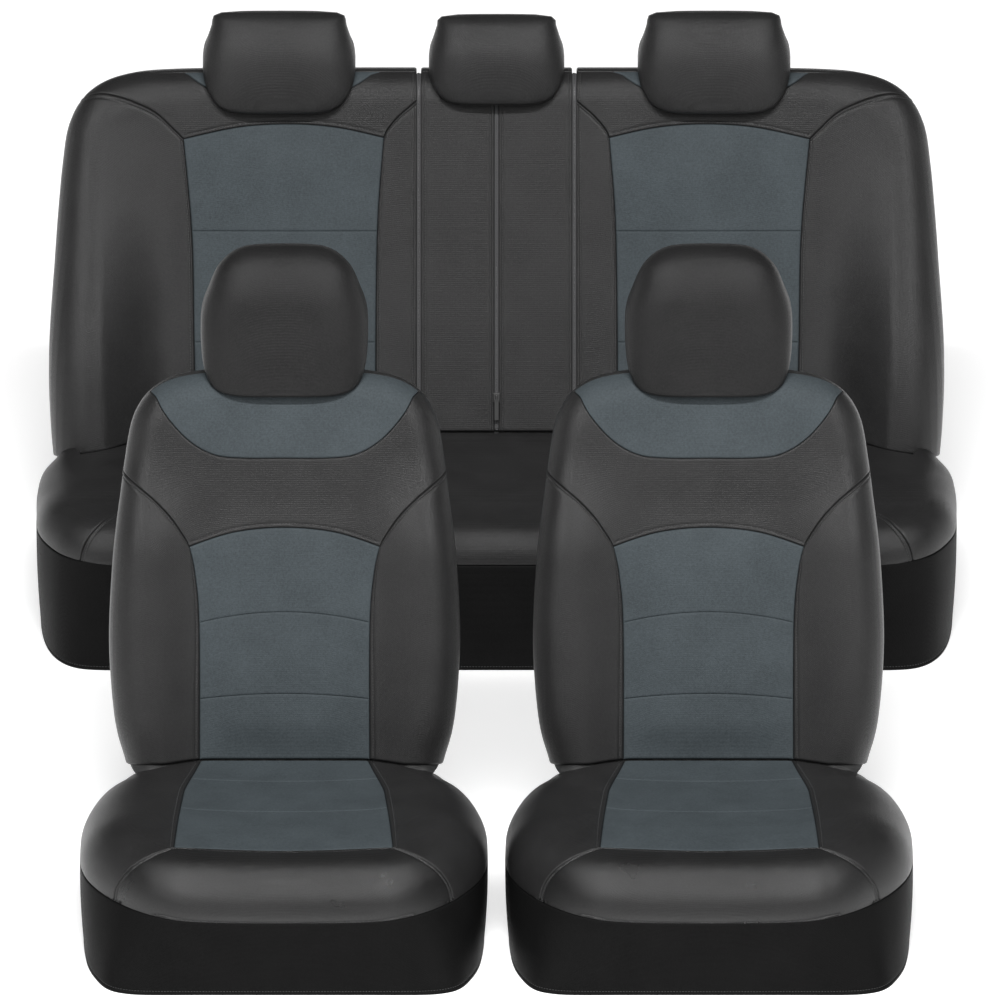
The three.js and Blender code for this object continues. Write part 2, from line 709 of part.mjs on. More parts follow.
function rearBackRelief(x, up) {
  const bolster = REAR_BOLSTER * smooth(480, 640, Math.abs(x)) * (1 - 0.7 * smooth(60, 480, up));
  const across = (Math.abs(x) - ZIP_EDGE) / (470 - ZIP_EDGE);
  const crown = 9 * Math.sin(Math.PI * THREE.MathUtils.clamp(across, 0, 1)) ** 2;
  return bolster + crown * smooth(0, 60, up) * (1 - smooth(380, 480, up));
}

function rearSection(side, form, place) {
  const name = side > 0 ? 'rear_right' : 'rear_left';
  const { backSeam } = form;
  const round = quarter(form.radius);
  const crest = round * RIDGE;
  const foot = shareWhere(form, (p) => p.y > 10);
  const shoulder = shareWhere(form, (p) => p.y > 462);
  const corner = shareWhere(form, (p) => p.x < 575 && p.y > 400);
  const tip = shareWhere(form, (p) => p.x < 520 && p.y > 400);
  const shareX = (x) => shareWhere(form, (p) => p.x < x && p.y > 400);
  const footEdge = (x) => backrestFoot(form, REAR, x);
  const crestY = form.rim(0.5, crest).y;
  const line = (points, steps) => {
    const curve = seam(form, points, steps, side);
    if (points[0][1] === 0) {
      curve[0] = footEdge(side * points[0][0]);
    }
    return curve;
  };
  const add = (label, seams, kind) => panel(`${name}_${label}`, form, sided(side, seams), kind);
  add('back_insert', {
    bottom: edgeLine(footEdge, side * 184, side * 456, 6),
    top: chain([line(REAR_SEAMS.arch, 12)], 6),
    left: line(REAR_SEAMS.insertInner, 8),
    right: line(REAR_SEAMS.insertOuter, 8),
  }, 'grey');
  const zipEdge = (from, to) => [vec(side * ZIP_EDGE, from), vec(side * ZIP_EDGE, to)];
  add('back_inner_bolster', {
    bottom: edgeLine(footEdge, side * ZIP_EDGE, side * 184, 3),
    top: chain([line(REAR_SEAMS.inner, 12)], 3),
    left: chain([zipEdge(REAR.footGap, 503)], 8),
    right: line(REAR_SEAMS.insertInner, 8),
  }, 'black');
  const outerSeam = chain([line(REAR_SEAMS.outer, 12), [form.rim(shareOn(side, shoulder), backSeam)]], 12);
  const edge = rimLine(form, shareOn(side, foot), shareOn(side, shoulder), backSeam, 8);
  add('back_outer_bolster', {
    bottom: chain([edgeLine(footEdge, side * 456, side * 632, 6), [edge[0]]], 8),
    top: chain([outerSeam], 8),
    left: line(REAR_SEAMS.insertOuter, 8),
    right: edge,
  }, 'black');
  const crestLine = (x0, x1) => rimLine(form, shareOn(side, shareX(x0)), shareOn(side, shareX(x1)), crest, 6);
  const yokeLow = [crestLine(183, 183)[0], ...line(REAR_SEAMS.yoke, 12).slice(1, -1), crestLine(475, 475)[0]];
  const cornerEdge = rimLine(form, shareOn(side, tip), shareOn(side, corner), crest, 4, backSeam);
  const top = [[vec(side * ZIP_EDGE, crestY)], yokeLow, crestLine(475, 520), cornerEdge];
  add('back_shoulder', {
    bottom: chain([line(REAR_SEAMS.inner, 6), line(REAR_SEAMS.arch, 12), outerSeam], 18),
    top: chain(top, 18),
    left: chain([zipEdge(503, crestY)], 6),
    right: rimLine(form, shareOn(side, shoulder), shareOn(side, corner), backSeam, 6),
  }, 'black');
  add('back_yoke', {
    bottom: chain([yokeLow], 8),
    top: crestLine(183, 475),
    left: Array(3).fill(yokeLow[0]),
    right: Array(3).fill(yokeLow.at(-1)),
  }, 'grey');

  // From behind, the section lies on the other side
  const rear = behind(form, OUTLINES.rearBack, place);
  const turn = quarter(rear.radius);
  const over = turn + rear.wall + round - crest;
  const hem = shareWhere(rear, (p) => p.y > BACK_HEM);
  const topShare = (x) => shareOn(-side, shareX(x));
  const outer = rimLine(rear, shareOn(-side, hem), shareOn(-side, corner), turn, 6);
  const inner = [vec(-side * ZIP_EDGE, BACK_HEM + 20), vec(-side * ZIP_EDGE, rear.rim(0.5, over).y)];
  const mark = (x, y) => vec(-side * x, y);
  panel(`${name}_back_panel`, rear, sided(-side, {
    bottom: chain([[mark(ZIP_EDGE, BACK_HEM + 20), mark(600, BACK_HEM), outer[0]]], 12),
    top: chain([[mark(ZIP_EDGE, rear.rim(0.5, over).y)], rimLine(rear, topShare(183), topShare(520), over, 8),
      rimLine(rear, topShare(520), shareOn(-side, corner), over, 4, turn)], 12),
    left: chain([inner], 6),
    right: outer,
  }), 'black', BACK_INSET);
}

// The middle section, between the outer zippers
function rearCentre(form, place) {
  const crestY = form.rim(0.5, quarter(form.radius) * RIDGE).y;
  const strip = (x0, x1, columns, rows, from, to) => ({
    bottom: chain([[vec(x0, from), vec(x1, from)]], columns),
    top: chain([[vec(x0, to), vec(x1, to)]], columns),
    left: chain([[vec(x0, from), vec(x0, to)]], rows),
    right: chain([[vec(x1, from), vec(x1, to)]], rows),
  });
  const inner = ZIPPERS[2] - ZIP_HALF;
  panel('rear_centre_back_left', form, strip(-inner, -ZIP_HALF, 2, 12, REAR.footGap, crestY), 'black');
  panel('rear_centre_back_right', form, strip(ZIP_HALF, inner, 2, 12, REAR.footGap, crestY), 'black');
  ZIPPERS.forEach((x, i) => {
    const side = ['left', 'centre', 'right'][i];
    const chainSeams = strip(x - CHAIN_HALF, x + CHAIN_HALF, 1, 12, REAR.footGap + 2, crestY - 3);
    panel(`rear_zip_${side}_chain`, form, chainSeams, 'zip', 0);
    zipSlider(`rear_zip_${side}_slider`, place, x);
  });
  const rear = behind(form, OUTLINES.rearBack, place);
  const over = quarter(rear.radius) + rear.wall + quarter(form.radius) * (1 - RIDGE);
  const top = rear.rim(0.5, over).y;
  panel('rear_centre_back_panel', rear, strip(-inner, inner, 3, 10, BACK_HEM + 20, top), 'black');
}

// A slider sits on its zipper's chain near the crease, with its pull hanging down
function zipSlider(name, place, x) {
  const body = block(place, [x - 5.5, 44, 0.6], [x + 5.5, 60, 6]);
  const bridge = block(place, [x - 2, 47, 5.5], [x + 2, 57, 9]);
  const pull = block(place, [x - 3.5, 18, 7], [x + 3.5, 50, 8.6]);
  addMesh(name, fromSolid(body.add(bridge).add(pull)), 'zip');
}

function benchSeatRelief(x, ahead) {
  return -(REAR.topZ - REAR.creaseZ) * (1 - smooth(0, 370, ahead));
}

function bench(place, back) {
  const outline = OUTLINES.rearSeat;
  const form = new Form({
    outline, radius: REAR.noseRadius, wall: 0, backRadius: 1, relief: benchSeatRelief, place,
  });
  const round = quarter(form.radius);
  const rearEdge = (x) => cushionRear(form, back, REAR, x);
  const start = shareWhere(form, (p) => p.y > SKIRT_START);
  const front = shareWhere(form, (p) => p.x < 152 && p.y > 200);
  const line = (points, steps, side) => {
    const curve = seam(form, points, steps, side);
    if (points[0][1] === 0) {
      curve[0] = rearEdge(side * points[0][0]);
    }
    return curve;
  };
  const frontPoint = (side) => form.rim(shareOn(side, front), round);
  const centreSide = (side) => chain([line(REAR_SEAMS.seatInsertInner, 8, side), [frontPoint(side)]], 10);
  panel('bench_centre', form, {
    bottom: edgeLine(rearEdge, -150, 150, 4),
    top: rimLine(form, 1 - front, front, round, 4),
    left: centreSide(-1),
    right: centreSide(1),
  }, 'black');
  for (const side of [-1, 1]) {
    const label = side > 0 ? 'right' : 'left';
    panel(`bench_insert_${label}`, form, sided(side, {
      bottom: edgeLine(rearEdge, side * 150, side * 456, 5),
      top: line(REAR_SEAMS.seatInsertNose, 5, side),
      left: line(REAR_SEAMS.seatInsertInner, 6, side),
      right: line(REAR_SEAMS.seatInsertOuter, 6, side),
    }), 'grey');
    const edge = rimLine(form, shareOn(side, start), shareOn(side, front), round, 14);
    const inside = [
      ...line(REAR_SEAMS.seatInsertOuter, 7, side),
      ...reversed(line(REAR_SEAMS.seatInsertNose, 7, side)).slice(1)];
    panel(`bench_side_${label}`, form, sided(side, {
      bottom: chain([edgeLine(rearEdge, side * 456, side * 640, 6), [edge[0]]], 5),
      top: chain([[inside.at(-1)], [frontPoint(side)]], 5),
      left: inside,
      right: edge,
    }), 'black');
  }
  skirt('bench_skirt', form, OUTLINES.rearHem, REAR, place, 26);
}

// ---- the set -------------------------------------------------------------------------------------

for (const [name, centre] of Object.entries(FRONT_CENTRES)) {
  const place = backrestPlace(centre, 0, FRONT);
  const back = frontBack(name, place);
  frontSeat(name, cushionPlace(centre, 0, FRONT), back);
  tuckFlap(`${name}_tuck_flap`, cushionPlace(centre, 0, FRONT), FRONT);
  backStrap(`${name}_back`, place);
  headrestCover(`${name}_headrest_cover`, place, BAG_RINGS.front, {
    halfWidth: 125, halfDepth: 60, low: 544, high: 772, ahead: -26, lift: 50,
  });
}

const rearPlace = backrestPlace(0, BENCH_FRONT, REAR);
const rearForm = new Form({
  ...REAR, radius: REAR.edgeRadius, outline: OUTLINES.rearBack, relief: rearBackRelief, place: rearPlace,
});
rearSection(-1, rearForm, rearPlace);
rearSection(1, rearForm, rearPlace);
rearCentre(rearForm, rearPlace);
bench(cushionPlace(0, BENCH_FRONT, REAR), rearForm);
for (const [side, x] of [['left', -330], ['right', 330]]) {
  headrestCover(`rear_${side}_headrest_cover`, backrestPlace(x, BENCH_FRONT, REAR), BAG_RINGS.rear, {
    halfWidth: 116, halfDepth: 52, low: 484, high: 640, ahead: -12, lift: 56,
  });
}
headrestCover('rear_centre_headrest_cover', rearPlace, BAG_RINGS.rear, {
  halfWidth: 103, halfDepth: 50, low: 497, high: 635, ahead: -12, lift: 44,
});

const box = new THREE.Box3().setFromObject(set);
const middle = box.getCenter(new THREE.Vector3());
set.position.set(-middle.x, -middle.y, -box.min.z);

export default set;
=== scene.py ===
"""The looks of a seat cover set: two front covers and a split bench cover, sewn from padded cloth.

A seat's shape is a rounded slab whose face and edges are laid out flat, without the relief of its
padding. Each panel fills the space between four seams of that layout and is laid over the padded shape.
A cloth simulation then puffs the panels between their seams, and stitches, hems, zippers and straps are
laid on top.
"""
import math

import bmesh
import bpy
import numpy as np
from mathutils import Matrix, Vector


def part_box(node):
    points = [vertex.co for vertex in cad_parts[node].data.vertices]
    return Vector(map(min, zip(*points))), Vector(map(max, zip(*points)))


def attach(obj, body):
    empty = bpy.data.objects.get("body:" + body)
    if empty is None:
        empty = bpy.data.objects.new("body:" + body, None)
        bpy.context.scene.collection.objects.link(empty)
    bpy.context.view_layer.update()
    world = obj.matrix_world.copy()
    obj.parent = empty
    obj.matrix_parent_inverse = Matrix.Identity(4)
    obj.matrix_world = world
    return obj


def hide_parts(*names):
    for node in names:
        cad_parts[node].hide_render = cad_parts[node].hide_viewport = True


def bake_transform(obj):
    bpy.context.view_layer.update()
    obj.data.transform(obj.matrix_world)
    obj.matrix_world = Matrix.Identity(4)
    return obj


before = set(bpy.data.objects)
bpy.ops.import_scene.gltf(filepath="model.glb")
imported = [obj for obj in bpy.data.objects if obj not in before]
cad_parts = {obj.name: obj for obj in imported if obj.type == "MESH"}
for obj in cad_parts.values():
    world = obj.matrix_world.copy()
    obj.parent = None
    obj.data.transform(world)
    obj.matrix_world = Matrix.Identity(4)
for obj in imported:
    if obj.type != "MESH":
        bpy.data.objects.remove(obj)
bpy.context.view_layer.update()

MM = 0.001
SIDES = ((-1, "left"), (1, "right"))
FRONT_Y = float(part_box("front_left_seat_skirt")[0][1])      # where the cushions' front edges are
BENCH_Y = float(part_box("bench_skirt")[0][1])

# ---- camera and stage --------------------------------------------------------------------------

ELEVATION = math.asin(0.4067)             # the view looks down by this much
VIEW_HEIGHT = 1.4873                      # metres from the picture's bottom edge to its top
AIM_ACROSS, AIM_UP = 0.0052, 0.7371       # the picture's middle, from the foot of the front cushions
CAMERA_DISTANCE = 70.0                    # far off, for an almost parallel view
SENSOR = 36.0
FLOOR_SIZE = 40
SURROUNDINGS, FLOOR_GLOW = 0.08, 0.40     # strength of the light from all round and from the floor
LIGHTS = {                                # place, aim, the two sides of the light's face, power
    "key": ((0, -12.6, 11.6), (0, 0, 0.4), 9, 6, 900),
    "strip": ((0, -5.2, 9.2), (0, 0.2, 0.4), 7, 0.6, 1250),
}


def add_camera():
    camera = bpy.data.objects.new("camera", bpy.data.cameras.new("camera"))
    bpy.context.scene.collection.objects.link(camera)
    up = np.array([0, math.sin(ELEVATION), math.cos(ELEVATION)])
    away = np.array([0, -math.cos(ELEVATION), math.sin(ELEVATION)])
    aim = np.array([AIM_ACROSS, FRONT_Y, 0]) + up * AIM_UP
    camera.location = aim + away * CAMERA_DISTANCE
    camera.rotation_euler = (math.pi / 2 - ELEVATION, 0, 0)
    camera.data.sensor_width = SENSOR
    camera.data.lens = SENSOR * CAMERA_DISTANCE / VIEW_HEIGHT
    camera.data.clip_end = CAMERA_DISTANCE * 3
    bpy.context.scene.camera = camera


def add_light(name, place, aim, size, size_y, power):
    data = bpy.data.lights.new(name, "AREA")
    data.shape = "RECTANGLE"
    data.size, data.size_y, data.energy = size, size_y, power
    light = bpy.data.objects.new(name, data)
    bpy.context.scene.collection.objects.link(light)
    light.location = place
    light.rotation_euler = (Vector(aim) - Vector(place)).to_track_quat("-Z", "Y").to_euler()


def add_stage():
    bpy.ops.mesh.primitive_plane_add(size=FLOOR_SIZE)
    floor = bpy.context.object
    floor.name = "studio_floor"
    material = bpy.data.materials.new("studio_floor")
    material.use_nodes = True
    shader = material.node_tree.nodes["Principled BSDF"]
    shader.inputs["Base Color"].default_value = (0.9, 0.9, 0.9, 1)
    shader.inputs["Roughness"].default_value = 0.9
    shader.inputs["Emission Color"].default_value = (1, 1, 1, 1)
    shader.inputs["Emission Strength"].default_value = FLOOR_GLOW
    floor.data.materials.append(material)
    world = bpy.data.worlds.new("studio")
    bpy.context.scene.world = world
    world.use_nodes = True
    glow = world.node_tree.nodes["Background"].inputs
    glow["Color"].default_value = (1, 1, 1, 1)
    glow["Strength"].default_value = SURROUNDINGS
    for name, values in LIGHTS.items():
        add_light(name, *values)


add_camera()
add_stage()

# ---- curves and forms --------------------------------------------------------------------------


def catmull(points, t):
    """A smooth curve through points, at parameters t from 0 to 1."""
    p = np.asarray(points, float)
    last = len(p) - 1
    at = np.clip(np.asarray(t) * last, 0, last)
    i = np.minimum(at.astype(int), last - 1)
    w = (at - i)[:, None]
    p0, p1 = p[np.maximum(i - 1, 0)], p[i]
    p2, p3 = p[i + 1], p[np.minimum(i + 2, last)]
    v0, v1 = (p2 - p0) / 2, (p3 - p1) / 2
    return (2 * p1 - 2 * p2 + v0 + v1) * w**3 + (-3 * p1 + 3 * p2 - 2 * v0 - v1) * w**2 + v0 * w + p1


def unit(vectors, least=0.0):
    """Each vector at length 1. least keeps a vector of no length from being divided by 0."""
    return vectors / (np.linalg.norm(vectors, axis=-1, keepdims=True) + least)


def walked(points):
    """How far along a polyline each of its points lies."""
    steps = np.linalg.norm(np.diff(points, axis=0), axis=1)
    return np.concatenate([[0], np.cumsum(steps)])


def at_shares(points, shares):
    """Points at shares of a polyline's length."""
    points = np.asarray(points, float)
    run = walked(points)
    if run[-1] < 1e-9:
        return np.repeat(points[:1], len(shares), axis=0)
    where = np.asarray(shares) * run[-1]
    return np.stack([np.interp(where, run, points[:, k]) for k in range(points.shape[1])], axis=1)


def spline(points, steps=96):
    """A smooth curve through given points, evenly spaced."""
    dense = catmull(points, np.linspace(0, 1, 40 * len(points)))
    return at_shares(dense, np.linspace(0, 1, steps + 1))


def smooth(a, b, t):
    x = np.clip((np.asarray(t, float) - a) / (b - a), 0, 1)
    return x * x * (3 - 2 * x)


def joined(*curves):
    return np.concatenate([np.atleast_2d(c) for c in curves])


OUTLINE_STEPS = 240
TINY = 1e-12
SAME = 1e-7                # a point this near an outline counts as on it
AT_ONCE = 6000             # points compared with an outline in one go, to save memory


def full_outline(half):
    right = [list(p) for p in half[:-1]]
    left = [[-x, y] for x, y in reversed(right)]
    return spline(np.array([*right, list(half[-1]), *left]) * MM, OUTLINE_STEPS)


def outwards(points):
    along = np.empty_like(points)
    along[1:-1] = points[2:] - points[:-2]
    along[0] = points[1] - points[0]
    along[-1] = points[-1] - points[-2]
    along = unit(along)
    return np.stack([along[:, 1], -along[:, 0]], axis=1)


class Form:
    """A slab with rounded edges, whose cloth is unrolled flat.

    A point of the cloth is (x, distance from the crease). Beyond the inner outline the cloth rolls over
    the edge, goes down the side wall and rolls over the back edge.
    """

    def __init__(self, outline, radius, wall, back_radius, relief, place):
        edge = full_outline(outline)
        self.normals = outwards(edge)
        self.inner = edge - self.normals * radius
        self.radius, self.wall, self.back_radius = radius, wall, back_radius
        self.relief, self.place = relief, place
        self.round = radius * math.pi / 2
        self.back_seam = self.round + wall

    def foot(self, points):
        """The nearest point of the inner outline to each point, its distance and the way out."""
        a, side = self.inner[:-1], np.diff(self.inner, axis=0)
        length2 = (side**2).sum(1)
        found = []
        for part in np.array_split(points, max(1, len(points) // AT_ONCE)):
            gap = part[:, None] - a[None]
            t = np.clip((gap * side).sum(2) / length2, 0, 1)
            near = gap - t[..., None] * side
            k = (near**2).sum(2).argmin(1)
            rows = np.arange(len(part))
            tk = t[rows, k][:, None]
            normal = unit(self.normals[k] * (1 - tk) + self.normals[k + 1] * tk)
            found.append((a[k] + tk * side[k], near[rows, k], normal))
        at, away, normal = (np.concatenate(parts) for parts in zip(*found))
        distance = np.linalg.norm(away, axis=1)
        outside = (away * normal).sum(1) > 0
        safe = np.where(distance > SAME, distance, 1)[:, None]
        away = np.where((distance > SAME)[:, None], away / safe, normal)
        return at, distance, away, outside

    def unroll(self, points):
        """Points seen from straight in front, laid out on the unrolled cloth."""
        points = np.atleast_2d(np.asarray(points, float))
        at, distance, away, outside = self.foot(points)
        rolled = self.radius * np.arcsin(np.minimum(distance / self.radius, 1))
        return np.where(outside[:, None], at + away * rolled[:, None], points)

    def rim(self, shares, reach):
        """Points a given reach beyond the inner outline, at shares of the way round it."""
        at = np.atleast_1d(shares) * (len(self.inner) - 1)
        i = np.minimum(at.astype(int), len(self.inner) - 2)
        t = (at - i)[:, None]
        point = self.inner[i] * (1 - t) + self.inner[i + 1] * t
        normal = unit(self.normals[i] * (1 - t) + self.normals[i + 1] * t)
        return point + normal * np.broadcast_to(reach, at.shape)[:, None]

    def rim_line(self, start, end, reach, reach_end=None):
        t = np.linspace(0, 1, 65)
        last = reach if reach_end is None else reach_end
        return self.rim(start + (end - start) * t, reach + (last - reach) * t)

    def share(self, test):
        """How far round the outline the first point that passes a test is."""
        return int(np.argmax(test(self.inner[:, 0], self.inner[:, 1]))) / (len(self.inner) - 1)

    def lay(self, points, depth=0.0):
        """Where points of the cloth lie in space, sunk below the outer face by depth."""
        points = np.asarray(points, float)
        at, distance, away, outside = self.foot(points)
        relief = self.relief(points[:, 0], points[:, 1])
        roll = np.minimum(distance / self.radius, math.pi / 2)
        past = distance - self.round
        out = self.radius * np.sin(roll)
        down = self.radius * (1 - np.cos(roll)) + np.clip(past, 0, self.wall)
        turn = np.clip((past - self.wall) / self.back_radius, 0, math.pi / 2)
        out = out - self.back_radius * (1 - np.cos(turn))
        down = down + self.back_radius * np.sin(turn)
        beyond = np.maximum(past - self.wall - self.back_radius * math.pi / 2, 0)
        out = out - beyond
        tilt = roll + turn
        lift = relief * np.maximum(np.cos(roll), 0) - depth
        flat = at + away * (out + np.sin(tilt) * lift)[:, None]
        x = np.where(outside, flat[:, 0], points[:, 0])
        y = np.where(outside, flat[:, 1], points[:, 1])
        n = np.where(outside, np.cos(tilt) * lift - down, relief - depth)
        return self.place(x, y, n)


def backrest_place(centre, front, size):
    lean = math.radians(size["lean"])
    s, c = math.sin(lean), math.cos(lean)
    y0, z0 = front + size["crease_y"], size["crease_z"]
    return lambda x, up, out: np.stack(
        [centre + x, y0 + up * s - out * c, z0 + up * c + out * s], axis=-1)


def cushion_place(centre, front, size):
    y0, z0 = front + size["crease_y"], size["top_z"]
    return lambda x, ahead, up: np.stack([centre + x, y0 - ahead + 0 * up, z0 + up + 0 * x], axis=-1)


def line_at(edge, x0, x1):
    """Points of an edge that is given by a function of x."""
    return edge(np.linspace(x0, x1, 33))


def seam(form, points, side=1):
    """A seam given in millimetres as seen from in front, laid on the unrolled cloth."""
    return form.unroll(spline(np.asarray(points, float) * MM * np.array([side, 1])))


def from_edge(form, edge, points, side):
    """A seam whose first point lies on the panel's lower edge."""
    return joined(edge(np.array([side * points[0][0] * MM])), seam(form, points, side)[2:])


def on(side, share):
    """A share of the way round an outline, or its mirror image on the left."""
    return share if side > 0 else 1 - share


def cut(curve, start, end):
    """The part of a curve between two shares of its length."""
    return at_shares(curve, np.linspace(start, end, 65))


# ---- patches of cloth --------------------------------------------------------------------------

LEAD = np.array([0, 0.4, 0.9, 1.5, 2.3, 3.3, 4.6, 6.0, 7.4, 9.5, 12.5]) * MM   # close together at a seam
STITCH_LINE = 7            # the grid line that a row of stitches follows
SPACING = 6.5 * MM
THICK = 2.4 * MM           # a padded cloth's thickness
SEAM_DEPTH = 3.0 * MM      # how deep a panel's edge turns in at a seam
CHANNEL_DEPTH = 1.7 * MM
ZIP_DEPTH = 1.1 * MM
HEM_DEPTH = 1.6 * MM
TURN = 3.6 * MM            # over what width an edge turns in
PUFF_LIMIT = 5.0 * MM
COARSE = 13 * MM           # the simulation's grid
VALLEY, VALLEY_WIDTH = 1.5 * MM, 1.2 * MM             # the dip under a row of stitches
WELT, WELT_AT, WELT_WIDTH = 0.5 * MM, 3.1 * MM, 1.8 * MM      # the swelling between it and the seam
FADE = 0.01                # how gradually a row of stitches begins and ends, as a share of its edge


def edge_steps(length, knots=()):
    lead = LEAD * min(1, length / (2.8 * LEAD[-1]))
    middle = length - 2 * lead[-1]
    count = max(2, round(middle / SPACING))
    steps = np.concatenate([lead, lead[-1] + middle * np.arange(1, count) / count, length - lead[::-1]])
    for knot in knots:
        inner = steps[STITCH_LINE + 1:-STITCH_LINE - 1]
        nearest = STITCH_LINE + 1 + np.abs(inner - knot * length).argmin()
        steps[nearest] = knot * length
    return steps / length


def length_of(points):
    return walked(points)[-1]


class Patch:
    """Cloth between four seams, filled by a Coons patch on the unrolled cloth.

    bottom and top run from left to right, left and right from bottom to top. depths says how deep the
    bottom, top, left and right edges turn in. stitched names the edges with a row of stitches beside them.
    """

    def __init__(self, form, bottom, top, left, right, depths=None, stitched=(), knots=(), puff=1.0,
                 spans=None):
        self.form = form
        self.edges = [np.asarray(e, float) for e in (bottom, top, left, right)]
        self.depths = depths or [SEAM_DEPTH] * 4
        self.stitched = stitched
        self.spans = spans or {}
        self.puff = puff
        bottom, top, left, right = self.edges
        self.across = (length_of(bottom) + length_of(top)) / 2
        self.up = (length_of(left) + length_of(right)) / 2
        if self.up < 1e-4:
            self.up = np.linalg.norm(bottom[len(bottom) // 2] - top[len(top) // 2])
        self.u = edge_steps(self.across, knots)
        self.v = edge_steps(self.up)
        self.coarse = (max(5, round(self.across / COARSE)), max(5, round(self.up / COARSE)))

    def flat(self, u, v):
        bottom, top, left, right = self.edges
        b, t = at_shares(bottom, u)[None], at_shares(top, u)[None]
        l, r = at_shares(left, v)[:, None], at_shares(right, v)[:, None]
        uu, vv = u[None, :, None], v[:, None, None]
        corners = ((1 - uu) * (1 - vv) * b[:, :1] + uu * (1 - vv) * b[:, -1:]
                   + (1 - uu) * vv * t[:, :1] + uu * vv * t[:, -1:])
        return (1 - vv) * b + vv * t + (1 - uu) * l + uu * r - corners

    def surface(self, u, v):
        grid = self.flat(u, v)
        rows, columns = grid.shape[:2]
        flat = grid.reshape(-1, 2)
        outer = self.form.lay(flat).reshape(rows, columns, 3)
        return grid, outer, unit(outer - self.form.lay(flat, MM).reshape(rows, columns, 3))

    def build(self, lift):
        """The finished outer face, with lift, a grid of how far the cloth puffs out, on the coarse grid."""
        grid, outer, normal = self.surface(self.u, self.v)
        steps_u = np.linalg.norm(np.diff(grid, axis=1), axis=2)
        steps_v = np.linalg.norm(np.diff(grid, axis=0), axis=2)
        zero_u, zero_v = np.zeros((len(self.v), 1)), np.zeros((1, len(self.u)))
        run_u = np.hstack([zero_u, steps_u.cumsum(1)])
        run_v = np.vstack([zero_v, steps_v.cumsum(0)])
        gaps = [run_v, run_v[-1:] - run_v, run_u, run_u[:, -1:] - run_u]
        sink = np.zeros_like(run_u)
        for gap, depth in zip(gaps, self.depths):
            t = np.clip(1 - gap / TURN, 0, 1)
            sink = np.maximum(sink, depth * (1 - np.sqrt(1 - t**2)))
        raised = sample(lift, self.u, self.v)
        for index, edge in enumerate(("bottom", "top", "left", "right")):
            if edge in self.stitched:
                start, end = self.spans.get(edge, (0, 1))
                share = gaps[2] / run_u[:, -1:] if index < 2 else gaps[0] / run_v[-1:]
                inside = (smooth(start - FADE, start + FADE, share)
                          * (1 - smooth(end - FADE, end + FADE, share)))
                valley = np.exp(-((gaps[index] - LEAD[STITCH_LINE]) / VALLEY_WIDTH) ** 2)
                welt = np.exp(-((gaps[index] - WELT_AT) / WELT_WIDTH) ** 2)
                raised = raised + (WELT * welt - VALLEY * valley) * inside
        self.grid, self.normal = grid, normal
        self.outer = outer + normal * (raised * self.puff - sink)[..., None]
        self.inner = self.outer - normal * THICK

    def stitch_lines(self):
        n = STITCH_LINE
        lines = {
            "bottom": (self.outer[n], self.normal[n]),
            "top": (self.outer[-1 - n], self.normal[-1 - n]),
            "left": (self.outer[:, n], self.normal[:, n]),
            "right": (self.outer[:, -1 - n], self.normal[:, -1 - n]),
        }
        for edge in self.stitched:
            points, normals = lines[edge]
            shares = self.u if edge in ("bottom", "top") else self.v
            start, end = self.spans.get(edge, (0, 1))
            inside = (shares > start) & (shares < end)
            inside[:n] = inside[-n:] = False
            yield points[inside], normals[inside]

    def flat_area(self):
        g = self.grid
        a, b = g[1:, 1:] - g[:-1, :-1], g[1:, :-1] - g[:-1, 1:]
        return np.abs(a[..., 0] * b[..., 1] - a[..., 1] * b[..., 0]).sum() / 2


def sample(grid, u, v):
    """A grid over the unit square, read smoothly at the crossings of u and v."""
    rows, columns = grid.shape
    by_column = np.stack([hermite(grid[r], u) for r in range(rows)])
    return np.stack([hermite(by_column[:, c], v) for c in range(len(u))], axis=1)


def hermite(values, t):
    return catmull(values[:, None], t)[:, 0]


# ---- materials ---------------------------------------------------------------------------------


def principled(name, colour, roughness):
    material = bpy.data.materials.new(name)
    material.use_nodes = True
    shader = material.node_tree.nodes["Principled BSDF"]
    shader.inputs["Base Color"].default_value = (*colour, 1)
    shader.inputs["Roughness"].default_value = roughness
    material.diffuse_color = (*colour, 1)
    return material, shader


def node(material, kind, **settings):
    made = material.node_tree.nodes.new(kind)
    for key, value in settings.items():
        if key in made.inputs:
            made.inputs[key].default_value = value
        else:
            setattr(made, key, value)
    return made


def link(material, a, output, b, entry):
    material.node_tree.links.new(a.outputs[output], b.inputs[entry])


def textured(material, place, kind, **settings):
    """A texture node that reads the object's own coordinates."""
    made = node(material, kind, **settings)
    link(material, place, "Object", made, "Vector")
    return made


def add_bump(material, shader, source, output, strength, distance):
    raised = node(material, "ShaderNodeBump", Strength=strength, Distance=distance)
    link(material, source, output, raised, "Height")
    link(material, raised, "Normal", shader, "Normal")


def add_colours(material, shader, source, output, colour, shares, stops=(0, 1)):
    """A colour that runs between two shares of itself."""
    ramp = node(material, "ShaderNodeValToRGB")
    for element, share, stop in zip(ramp.color_ramp.elements, shares, stops):
        element.position = stop
        element.color = (*[c * share for c in colour], 1)
    link(material, source, output, ramp, "Fac")
    link(material, ramp, "Color", shader, "Base Color")


def add_roughness(material, shader, source, roughness, spread):
    rough = node(material, "ShaderNodeMapRange")
    rough.inputs["To Min"].default_value = roughness - spread
    rough.inputs["To Max"].default_value = roughness + spread
    link(material, source, "Fac", rough, "Value")
    link(material, rough, "Result", shader, "Roughness")


WAVE_PERIOD = 0.314        # from band to band of a wave texture at scale 1


